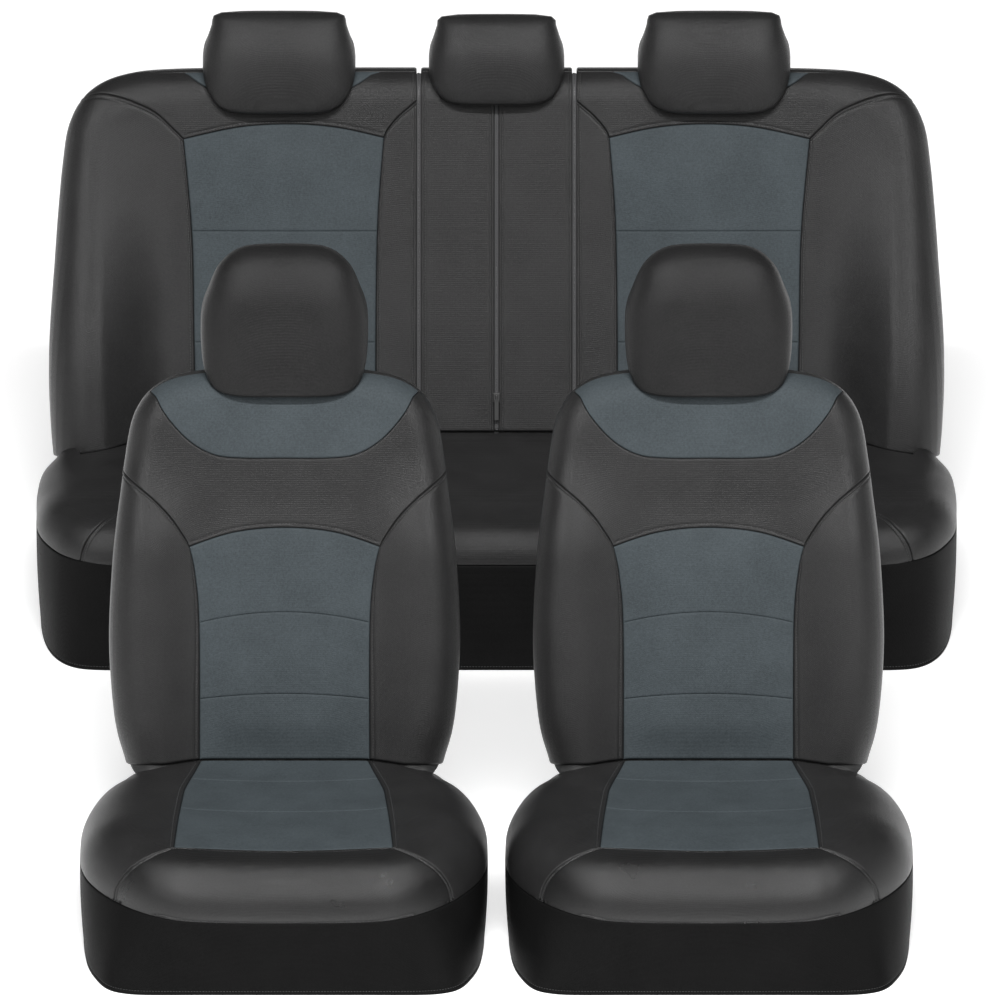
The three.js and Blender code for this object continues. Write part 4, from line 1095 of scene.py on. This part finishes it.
def front_seat(name, body, place, back):
    form = Form(OUTLINES["front_seat"], FRONT["nose"], 0.0, MM, front_seat_relief, place)
    edge_of = rear_edge(form, back, FRONT)
    corner = nose_share(form, 0.201)
    start = form.share(lambda x, y: y > SKIRT_START)
    insert, outer_x = FRONT_SEAMS["seat_insert_side"], 0.212
    insert_x = insert[0][0] * MM
    side_seam = {s: from_edge(form, edge_of, insert, s) for s in (-1, 1)}
    nose = seam(form, FRONT_SEAMS["seat_nose"])
    corner_seam = {s: joined(seam(form, FRONT_SEAMS["seat_corner"], s)[:-1],
                             form.rim(on(s, corner), form.round)) for s in (-1, 1)}
    Piece(body, f"{name}_seat_insert", "grey", channelled(
        form, line_at(edge_of, -insert_x, insert_x), nose, side_seam[-1], side_seam[1],
        CHANNELS["front_seat"]))
    for side, label in SIDES:
        edge = form.rim_line(on(side, start), on(side, corner), form.round)
        Piece(body, f"{name}_seat_bolster_{label}", "black", [
            Patch(form, **sided(side, joined(line_at(edge_of, side * insert_x, side * outer_x), edge[:1]),
                                corner_seam[side], side_seam[side], edge, stitched=["left"]))])
    Piece(body, f"{name}_seat_nose", "satin", [
        Patch(form, nose, form.rim_line(1 - corner, corner, form.round), corner_seam[-1], corner_seam[1],
              stitched=["bottom", "left", "right"])])
    skirt = Skirt(form, "front_hem", FRONT, place)
    Piece(body, f"{name}_seat_skirt", "skirt", [skirt.patch()])
    skirt_band(body, skirt)
    return form


BAG_RINGS = {    # shares of a headrest cover's width, depth and height, from the hem up to the crown
    "front": [(0.58, 0.42, 0.035), (0.88, 0.66, 0.0), (0.97, 0.76, 0.06), (1, 0.87, 0.25), (0.99, 0.96, 0.48),
              (0.91, 1, 0.68), (0.79, 0.86, 0.86), (0.5, 0.46, 0.98), (0, 0, 1.0)],
    "rear": [(0.58, 0.42, 0.035), (0.86, 0.66, 0.0), (0.96, 0.80, 0.08), (1, 0.90, 0.22), (0.985, 1, 0.48),
             (0.94, 0.98, 0.68), (0.885, 0.82, 0.86), (0.77, 0.5, 0.98), (0, 0, 1.0)],
}


SQUARENESS = 2.7       # of a headrest seen from above: 2 is an oval, and more is closer to a box


class Bag:
    """A headrest cover: a bag open underneath. Its points are (distance round, distance up)."""

    def __init__(self, place, rings, sizes):
        half_width, half_depth, self.low, self.high, self.ahead, self.lift = np.array(sizes) * MM
        self.place, self.rings, self.half_width, self.half_depth = place, rings, half_width, half_depth
        angle = np.linspace(0, 2 * math.pi, 2001)
        across, along = self.oval(np.cos(angle)), self.oval(np.sin(angle))
        ring = np.stack([across * half_width, along * half_depth], axis=1)
        run = walked(ring)
        self.angle_at = lambda share: np.interp(share * run[-1], run, angle)
        self.girth = run[-1]

    @staticmethod
    def oval(value):
        return np.sign(value) * np.abs(value) ** (2 / SQUARENESS)

    def lay(self, points, depth=0.0):
        around, up = points[:, 0] / self.girth, points[:, 1] / (self.high - self.low)
        angle = self.angle_at(np.mod(around, 1))
        rings = catmull(self.rings, np.clip(up, 0, 1))
        wide, deep, level = np.clip(rings[:, 0], 0, None), np.clip(rings[:, 1], 0, None), rings[:, 2]
        x = (self.half_width - depth) * wide * self.oval(np.cos(angle))
        out = (self.half_depth - depth) * deep * self.oval(np.sin(angle))
        height = self.low + depth + (self.high - self.low - 2 * depth) * level
        # The foot stays down in front, and rises by lift at the sides and by twice that behind
        turned = 2 * (1 - smooth(-1, 1, self.oval(np.sin(angle))))
        rise = self.lift * turned * np.clip(1 - level * 1.25, 0, None)
        return self.place(x, height + rise, self.ahead + out)

    def patches(self):
        tall = self.high - self.low
        made = []
        for start in (0.0, 0.5):
            around = np.linspace(start, start + 0.5, 100) * self.girth
            line = lambda y: np.stack([around, np.full(100, y)], axis=1)
            end = lambda x: np.array([[x * self.girth, 0], [x * self.girth, tall]])
            made.append(Patch(self, line(0), line(tall), end(start), end(start + 0.5),
                              depths=[1.2 * MM, 0, HEM_DEPTH, HEM_DEPTH], stitched=["bottom"]))
        return made


# Half width, half depth, foot and crown above the crease, place ahead, and how far the foot rises at the
# sides, which is half as far as it rises behind
BAG_SIZES = {
    "front": (125, 60, 544, 772, -26, 50), "rear": (116, 52, 484, 640, -12, 56),
    "centre": (103, 50, 497, 635, -12, 44),
}


def headrest(name, place, sizes):
    body, rings = f"{name}_headrest", "front" if sizes == "front" else "rear"
    bag = Bag(place, BAG_RINGS[rings], BAG_SIZES[sizes])
    # the front headrests take the darker copy of the black knit, which is painted shade
    cloth = "headrest" if rings == "front" else "black"
    Piece(body, f"{name}_headrest_cover", cloth, bag.patches(), f"{name}_headrest_bag")
    line = np.stack([np.linspace(0, bag.girth * 0.999, 160), np.full(160, BAG_BAND_LEVEL)], axis=1)
    add_trim(body, "elastic", tube(bag.lay(line, BAG_BAND_DEPTH), BAG_BAND), "hem")


# ---- bench -------------------------------------------------------------------------------------


def rear_section(side, label, form, place):
    """One of the two outer sections of the bench's backrest."""
    name, body = f"rear_{label}", f"rear_{label}_back"
    back_seam, crest = form.back_seam, form.round * RIDGE
    foot = form.share(lambda x, y: y > 0.010)
    shoulder = form.share(lambda x, y: y > 0.462)
    share_x = lambda limit: form.share(lambda x, y: (x < limit) & (y > 0.4))
    corner, tip = share_x(0.575), share_x(0.520)
    yoke_in, yoke_out = (share_x(limit) for limit in (0.183, 0.475))
    edge_of = foot_edge(form, REAR)
    crest_y = form.rim(0.5, crest)[0, 1]
    line = {key: seam(form, points, side) for key, points in REAR_SEAMS.items() if not key.startswith("seat")}
    for key in ("insert_inner", "insert_outer"):
        line[key] = from_edge(form, edge_of, REAR_SEAMS[key], side)
    inner_x, outer_x = (REAR_SEAMS[key][0][0] * MM for key in ("insert_inner", "insert_outer"))
    Piece(body, f"{name}_back_insert", "grey", channelled(form, *sided_seams(
        side, line_at(edge_of, side * inner_x, side * outer_x), line["arch"], line["insert_inner"],
        line["insert_outer"]), CHANNELS["rear_back"]))
    zip_x = side * (ZIP_EDGE + GAP)
    zip_edge = lambda a, b: np.array([[zip_x, a], [zip_x, b]])
    shoulder_y = REAR_SEAMS["inner"][0][1] * MM
    Piece(body, f"{name}_back_inner_bolster", "black", [
        Patch(form, **sided(side, line_at(edge_of, zip_x, side * inner_x), line["inner"],
                            zip_edge(REAR["foot_gap"], shoulder_y), line["insert_inner"],
                            depths=[SEAM_DEPTH, SEAM_DEPTH, ZIP_DEPTH, SEAM_DEPTH],
                            stitched=["left", "right", "top"]))])
    outer_seam = joined(line["outer"], form.rim(on(side, shoulder), back_seam))
    edge = form.rim_line(on(side, foot), on(side, shoulder), back_seam)
    Piece(body, f"{name}_back_outer_bolster", "black", [
        Patch(form, **sided(side, foot_corner(edge_of, edge, side, outer_x, REAR), outer_seam,
                            line["insert_outer"], edge, stitched=["left", "top"]))])
    crest_line = lambda a, b: form.rim_line(on(side, a), on(side, b), crest)
    yoke_low = joined(crest_line(yoke_in, yoke_in)[:1], line["yoke"][3:-3],
                      crest_line(yoke_out, yoke_out)[:1])
    corner_edge = form.rim_line(on(side, tip), on(side, corner), crest, back_seam)
    low = joined(line["inner"], line["arch"][1:], outer_seam[1:])
    top = joined([[zip_x, crest_y]], yoke_low, crest_line(yoke_out, tip)[1:], corner_edge[1:])
    first, second = length_of(line["inner"]), length_of(line["arch"])
    total = length_of(low)
    start, end = first / total, (first + second) / total
    Piece(body, f"{name}_back_shoulder", "black", [
        Patch(form, **sided(side, low, top, zip_edge(shoulder_y, crest_y),
                            form.rim_line(on(side, shoulder), on(side, corner), back_seam),
                            stitched=["bottom", "left"], knots=[start, end],
                            depths=[SEAM_DEPTH, SEAM_DEPTH, ZIP_DEPTH, SEAM_DEPTH],
                            spans={"bottom": (start + CLEAR, end - CLEAR)}))])
    yoke_top = crest_line(yoke_in, yoke_out)
    Piece(body, f"{name}_back_yoke", "grey", [
        Patch(form, **sided(side, yoke_low, yoke_top, np.repeat(yoke_low[:1], 4, axis=0),
                            np.repeat(yoke_low[-1:], 4, axis=0)))])

    rear = behind(form, "rear_back", place)
    turn = rear.round
    over = turn + WALL + form.round - crest
    hem = rear.share(lambda x, y: y > BACK_HEM)
    outer = rear.rim_line(on(-side, hem), on(-side, corner), turn)
    top_y = rear.rim(0.5, over)[0, 1]
    inner = np.array([[-zip_x, BACK_HEM + ZIP_HEM_RISE], [-zip_x, top_y]])
    hem_line = joined(inner[:1], [[-side * REAR_HEM_HALF, BACK_HEM]], outer[:1])
    top = joined(inner[1:], rear.rim_line(on(-side, yoke_in), on(-side, tip), over),
                 rear.rim_line(on(-side, tip), on(-side, corner), over, turn)[1:])
    panel = Patch(rear, **sided(-side, hem_line, top, inner, outer, stitched=["bottom"],
                                depths=[HEM_DEPTH, SEAM_DEPTH, SEAM_DEPTH, SEAM_DEPTH]))
    Piece(body, f"{name}_back_panel", "black", [panel], f"{name}_back_rear_panel")
    hem_band(body, rear, hem_line)


def strip(form, x0, x1, low, high, stitched=("left", "right"), **more):
    """A panel with straight edges."""
    t = np.linspace(0, 1, 40)
    row = lambda y: np.stack([x0 + (x1 - x0) * t, np.full(40, y)], axis=1)
    column = lambda x: np.stack([np.full(40, x), low + (high - low) * t], axis=1)
    return Patch(form, row(low), row(high), column(x0), column(x1), stitched=list(stitched), **more)


def rear_centre(form, place):
    body = "rear_centre_back"
    crest_y = form.rim(0.5, form.round * RIDGE)[0, 1]
    inner = ZIPPERS["right"] - ZIP_HALF - GAP
    edge = ZIP_HALF + GAP
    depths = [SEAM_DEPTH, SEAM_DEPTH, ZIP_DEPTH, ZIP_DEPTH]
    for label, ends in (("left", (-inner, -edge)), ("right", (edge, inner))):
        Piece(body, f"rear_centre_back_{label}", "black",
              [strip(form, *ends, REAR["foot_gap"], crest_y, depths=depths)])
    rear = behind(form, "rear_back", place)
    over = rear.round + WALL + form.round * (1 - RIDGE)
    top_y = rear.rim(0.5, over)[0, 1]
    hem = BACK_HEM + ZIP_HEM_RISE
    Piece(body, "rear_centre_back_panel", "black",
          [strip(rear, -inner, inner, hem, top_y, stitched=["bottom"])], "rear_centre_back_rear_panel")
    hem_band(body, rear, np.array([[-inner, hem], [inner, hem]]))
    for label, x in ZIPPERS.items():
        zipper(label, x, form, body, REAR["foot_gap"] + 0.002, crest_y - 0.003)


BOX_FACES = [(0, 1, 3, 2), (4, 6, 7, 5), (0, 4, 5, 1), (2, 3, 7, 6), (0, 2, 6, 4), (1, 5, 7, 3)]
TEETH_PITCH, TOOTH = 2.4 * MM, (1.15 * MM, 0.72 * MM, 0.75 * MM)      # and a tooth's three half sizes
TEETH_SHIFT = 0.35 * MM                                               # to either side, by turns
TEETH_DEPTH, TAPE_THICK = 1.2 * MM, 0.6 * MM


def box_part(centre, half, axes):
    """A plain block along three axes."""
    corners = [centre + sum((2 * bit - 1) * size * axis for bit, size, axis in zip(bits, half, axes))
               for bits in np.ndindex(2, 2, 2)]
    return np.array(corners), BOX_FACES


def zipper(label, x, form, body, low, high):
    """Two tapes and two rows of interlocking teeth, sunk between the panels."""
    steps = np.linspace(low, high, 120)
    lay = lambda dx, depth, y=steps: form.lay(np.stack([np.full(len(y), x + dx), y], axis=1), depth)
    normal = unit(lay(0, 0) - lay(0, MM))
    # From behind the teeth outwards, as (distance from the middle, depth)
    profile = ((0.02, 2.2), (0.9, 2.1), (1.5, 1.4), (2.0, 1.3), (2.5, 1.7), (3.2, 2.9), (4.4, 4.0),
               (8.0, 4.0))
    tapes = []
    for side in (-1, 1):
        grid = np.stack([lay(side * dx * MM, depth * MM) for dx, depth in profile])
        tapes.append(cloth_mesh(grid, grid - normal[None] * TAPE_THICK)[:2])
    vertices, faces = merged(tapes)
    declare(new_object(f"rear_zip_{label}_tapes", vertices, faces, ["tape"]), body, SLOTS["tape"])
    count = int((high - low) / TEETH_PITCH)
    places = low + (np.arange(count) + 0.5) * TEETH_PITCH
    side = np.where(np.arange(count) % 2 == 0, TEETH_SHIFT, -TEETH_SHIFT)
    flat = np.stack([x + side, places], axis=1)
    centre = form.lay(flat, TEETH_DEPTH)
    out = unit(form.lay(flat, TEETH_DEPTH - MM) - centre)
    along = unit(form.lay(flat + np.array([0, MM]), TEETH_DEPTH) - centre)
    vertices, faces = merged([box_part(c, TOOTH, (np.cross(a, n), a, n))
                              for c, n, a in zip(centre, out, along)])
    teeth = new_object(f"rear_zip_{label}_teeth", vertices, faces, ["teeth"], smooth_faces=False)
    declare(teeth, body, SLOTS["teeth"], f"rear_zip_{label}_chain")


def rounded_block(place, low, high, bevel, kind):
    """A moulded block in backrest coordinates, with rounded edges."""
    corners = np.array([[low[0] if i & 1 else high[0], low[1] if i & 2 else high[1],
                         low[2] if i & 4 else high[2]] for i in range(8)]) * MM
    points = place(corners[:, 0], corners[:, 1], corners[:, 2])
    made = new_object("block", points, BOX_FACES, [kind], smooth_faces=False)
    rounding = made.modifiers.new("rounding", "BEVEL")
    rounding.width = bevel * MM
    rounding.segments = 3
    bpy.context.view_layer.objects.active = made
    with bpy.context.temp_override(object=made, active_object=made, selected_objects=[made]):
        bpy.ops.object.modifier_apply(modifier="rounding")
    return made


def join_objects(name, objects):
    with bpy.context.temp_override(active_object=objects[0], object=objects[0], selected_objects=objects,
                                   selected_editable_objects=objects):
        bpy.ops.object.join()
    objects[0].name = name
    objects[0].data.name = name
    return objects[0]


def fix_normals(made):
    mesh = bmesh.new()
    mesh.from_mesh(made.data)
    bmesh.ops.recalc_face_normals(mesh, faces=mesh.faces)
    mesh.to_mesh(made.data)
    mesh.free()


SLIDER_BLOCKS = (    # half width, from and to along the chain, from and to outwards, bevel, in millimetres
    (5.5, 44, 60, 0.6, 2.4, 0.8), (5.0, 45, 59, 3.4, 5.2, 0.8),       # body, top
    (1.5, 52, 59, 2.2, 3.6, 0.3), (2, 47, 57, 5.0, 8.8, 1.2),         # wedge, bridge
    (3.5, 18, 50, 7, 8.6, 0.75),                                      # pull
)


def zip_slider(label, place, x):
    """A slider with its bridge and a hanging pull tab."""
    x /= MM
    parts = [rounded_block(place, (x - half, low, deep), (x + half, high, out), bevel, "slider")
             for half, low, high, deep, out, bevel in SLIDER_BLOCKS]
    made = join_objects(f"rear_zip_{label}_slider_and_pull", parts)
    fix_normals(made)
    declare(made, f"rear_{label}_slider", "zip_nylon", f"rear_zip_{label}_slider")


def bench(place, back):
    body = "bench_cushion"
    form = Form(OUTLINES["rear_seat"], REAR["nose"], 0.0, MM, bench_seat_relief, place)
    edge_of = rear_edge(form, back, REAR)
    start = form.share(lambda x, y: y > SKIRT_START)
    front, corner = nose_share(form, 0.152), nose_share(form, 0.608)
    inner_x, outer_x = (REAR_SEAMS[key][0][0] * MM for key in ("seat_inner", "seat_outer"))
    side_x = 0.640
    line = {side: dict(inner=from_edge(form, edge_of, REAR_SEAMS["seat_inner"], side),
                       outer=from_edge(form, edge_of, REAR_SEAMS["seat_outer"], side),
                       nose=seam(form, REAR_SEAMS["seat_nose"], side),
                       point=form.rim(on(side, front), form.round)) for side in (-1, 1)}
    centre_side = {s: joined(line[s]["inner"], line[s]["point"]) for s in (-1, 1)}
    Piece(body, "bench_centre", "black", [
        Patch(form, line_at(edge_of, -inner_x, inner_x), form.rim_line(1 - front, front, form.round),
              centre_side[-1], centre_side[1], stitched=["left", "right"])])
    for side, label in SIDES:
        own = line[side]
        Piece(body, f"bench_insert_{label}", "grey", channelled(form, *sided_seams(
            side, line_at(edge_of, side * inner_x, side * outer_x), own["nose"], own["inner"], own["outer"]),
            CHANNELS["rear_seat"]))
        corner_seam = joined(seam(form, REAR_SEAMS["seat_corner"], side)[:-2],
                             form.rim(on(side, corner), form.round))
        edge = form.rim_line(on(side, start), on(side, corner), form.round)
        top = Patch(form, **sided(side, joined(line_at(edge_of, side * outer_x, side * side_x), edge[:1]),
                                  corner_seam, own["outer"], edge, stitched=["left"]))
        nose_edge = form.rim_line(on(side, front), on(side, corner), form.round)
        nose = Patch(form, **sided(side, own["nose"], nose_edge, joined(own["inner"][-1:], own["point"]),
                                   corner_seam, stitched=["bottom", "right"]))
        Piece(body, f"bench_side_{label}", "black", [top, nose])
    skirt = Skirt(form, "rear_hem", REAR, place)
    Piece(body, "bench_skirt", "skirt", [skirt.patch()])
    skirt_band(body, skirt)
    return form


# ---- flaps, gussets and straps -----------------------------------------------------------------


def sheet_from_grid(name, outer, thick, kind):
    """A closed thin cloth from a grid of points, thickened against its normals."""
    normal = unit(np.cross(np.gradient(outer, axis=1), np.gradient(outer, axis=0)), TINY)
    vertices, faces, indices = cloth_mesh(outer, outer - normal * thick)
    return new_object(name, vertices, faces, [kind, kind], indices)


FLAP_DROP, FLAP_FOOT = 0.012, 0.060           # its top's place below the crease, its foot's above the floor
FLAP_HALF, FLAP_HALF_TOP = 0.165, 0.190       # half its width at the foot and at the top


def tuck_flap(name, body, place, size):
    """A flap pushed through the crease, which hangs behind the cushion in soft waves."""
    top, foot = size["crease_z"] - size["top_z"] - FLAP_DROP, FLAP_FOOT - size["top_z"]
    u, v = np.meshgrid(np.linspace(-1, 1, 60), np.linspace(0, 1, 14))
    half = FLAP_HALF + (FLAP_HALF_TOP - FLAP_HALF) * v
    wave = 1.2 * MM * np.sin(9 * u + 1.3) * (1 - v) + 0.6 * MM * np.sin(23 * u) * (1 - v)
    flat = np.stack([u * half, 4 * MM * (2 * v - 1) + wave - 2 * MM, foot + (top - foot) * v], axis=-1)
    grid = place(flat[..., 0], flat[..., 1], flat[..., 2])
    made = sheet_from_grid(f"{name}_tuck_flap_cloth", grid, 1.6 * MM, "elastic")
    declare(made, body, SLOTS["webbing"], f"{name}_tuck_flap")


GUSSET_DEPTH = 4.5 * MM                       # under the faces of the panels that it joins
GUSSET_LOW, GUSSET_HIGH = 0.010, 0.012        # where it starts, beyond the edges of the two panels
GUSSET_SAG, GUSSET_BEHIND = 0.012, 0.004      # how far it hangs below and behind a straight web
GATHER, GATHERS = 1.1 * MM, 260               # how deep its gathers are, and how close together


def gusset(name, cushion, back, seat_form, back_form, size, x0, x1):
    """Elastic cloth that closes the crease from below, held by the cushion and by the backrest."""
    x = np.linspace(x0, x1, max(40, round(abs(x1 - x0) / 0.0045)))
    slope = math.tan(math.radians(size["lean"]))
    ahead = GUSSET_LOW + back_form.relief(x, 0 * x) / math.cos(math.radians(size["lean"]))
    low = seat_form.lay(np.stack([x, ahead], axis=1), GUSSET_DEPTH)
    up = size["foot_gap"] + GUSSET_HIGH - slope * back_form.relief(x, 0 * x)
    high = back_form.lay(np.stack([x, up], axis=1), GUSSET_DEPTH)
    v = np.linspace(0, 1, 12)[:, None, None]
    folds = GATHER * np.sin(GATHERS * x)
    sag = np.stack([0 * x, GUSSET_BEHIND + 0 * x, -(GUSSET_SAG + folds)], axis=1)
    grid = low[None] * (1 - v) + high[None] * v + np.sin(math.pi * v) * sag[None]
    made = sheet_from_grid(f"{name}_crease_gusset", grid, -1.4 * MM, "elastic")
    tuple(low[len(x) // 2])
    tuple(high[len(x) // 2])
    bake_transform(made)


STRAP_UP, STRAP_HALF, STRAP_END, STRAP_DEPTH = 130, 13, 222, 104      # millimetres
SOCKET_END, CLIP_END = -55, 20                                        # where the two straps meet the buckle


def webbing(name, place, x0, x1):
    """A flat woven strap with bound edges."""
    x = np.linspace(x0, x1, 60) * MM
    v = np.linspace(-1, 1, 15)
    level = STRAP_UP * MM + STRAP_HALF * MM * v[:, None] + 0 * x[None]
    bow = 0.35 * MM * (np.abs(v)[:, None] > 0.8) + 0.5 * MM * np.sin(14 * x / 0.2)[None]
    out = -(STRAP_DEPTH + 1) * MM - bow
    grid = place(np.repeat(x[None], 15, axis=0), level, out)
    return sheet_from_grid(name, grid, -1.5 * MM, "webbing")


def back_strap(name, body, clip_body, place):
    """Two strap halves across the open lower back, which meet in a side-release buckle."""
    y, z = STRAP_UP, -(STRAP_DEPTH + 1)

    def block(x0, x1, low, high, deep, bevel, offset=0):
        behind, ahead = z + offset - deep, z + offset + deep
        return rounded_block(place, (x0, y + low, behind), (x1, y + high, ahead), bevel, "plastic")

    socket = [
        block(-46, -6, -18, -15.4, 5.5, 1.0), block(-46, -6, 15.4, 18, 5.5, 1.0),
        block(-46, -6, -17, 17, 0.9, 0.7, 4.5), block(-46, -6, -17, 17, 0.9, 0.7, -4.5),
        block(-46, -38, -17, 17, 5.2, 1.2), block(-58, -54, -17, 17, 2.2, 1.0),
        block(-57, -40, -17.5, -14.5, 2.2, 0.8), block(-57, -40, 14.5, 17.5, 2.2, 0.8),
        block(-24, -10, -6, 6, 0.4, 0.3, -5.5),
    ]
    shell = join_objects(f"{name}_buckle_socket", socket)
    fix_normals(shell)
    clip = [
        block(-5, 8, -18, 18, 5.3, 1.6), block(8, 11, -17, 17, 2.2, 0.8), block(18, 22, -17, 17, 2.2, 1.0),
        block(8, 20, -17.5, -14.5, 2.2, 0.8), block(8, 20, 14.5, 17.5, 2.2, 0.8),
        block(-30, -2, 9.7, 14.7, 2.2, 0.9), block(-30, -2, -14.7, -9.7, 2.2, 0.9),
        block(-24, -2, -2.5, 2.5, 2.0, 0.7),
    ]
    tongue = join_objects(f"{name}_buckle_clip", clip)
    fix_normals(tongue)
    for made, x0, x1, rides, replaced in (
            (shell, -STRAP_END, SOCKET_END, body, f"{name}_back_strap_socket"),
            (tongue, CLIP_END, STRAP_END, clip_body, f"{name}_back_strap_clip")):
        declare(made, rides, "buckle_plastic", replaced)
        end = "left" if x0 < 0 else "right"
        band = webbing(f"{name}_strap_{end}", place, x0, x1)
        declare(band, rides, "webbing")


# ---- the set -----------------------------------------------------------------------------------

REAR_HEADREST_X, FRONT_CREASE = 0.330, 0.230        # from the middle of the bench, and of a front seat
BENCH_CREASES = {    # between which places each section's gusset runs
    "left": (-0.635, -0.119), "centre": (-0.117, 0.117), "right": (0.119, 0.635),
}

for seat in ("front_left", "front_right"):
    low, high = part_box(f"{seat}_headrest_cover")
    centre = (low[0] + high[0]) / 2
    back_place = backrest_place(centre, FRONT_Y, FRONT)
    seat_place = cushion_place(centre, FRONT_Y, FRONT)
    back_form = front_back(seat, f"{seat}_back", back_place)
    seat_form = front_seat(seat, f"{seat}_cushion", seat_place, back_form)
    tuck_flap(seat, f"{seat}_cushion", seat_place, FRONT)
    gusset(seat, f"{seat}_cushion", f"{seat}_back", seat_form, back_form, FRONT,
           -FRONT_CREASE, FRONT_CREASE)
    back_strap(seat, f"{seat}_back", f"{seat}_clip", back_place)
    headrest(seat, back_place, "front")

rear_place = backrest_place(0, BENCH_Y, REAR)
rear_form = Form(OUTLINES["rear_back"], REAR["edge"], WALL, BACK_RADIUS, rear_back_relief, rear_place)
for side, label in SIDES:
    rear_section(side, label, rear_form, rear_place)
rear_centre(rear_form, rear_place)
for label, x in ZIPPERS.items():
    zip_slider(label, rear_place, x)
bench_form = bench(cushion_place(0, BENCH_Y, REAR), rear_form)
for label, ends in BENCH_CREASES.items():
    gusset(f"rear_{label}", "bench_cushion", f"rear_{label}_back", bench_form, rear_form, REAR, *ends)
for side, label in SIDES:
    headrest(f"rear_{label}", backrest_place(side * REAR_HEADREST_X, BENCH_Y, REAR), "rear")
headrest("rear_centre", rear_place, "centre")

finish_pieces()
finish_trim()

scene = bpy.context.scene
scene.view_settings.view_transform = "Standard"
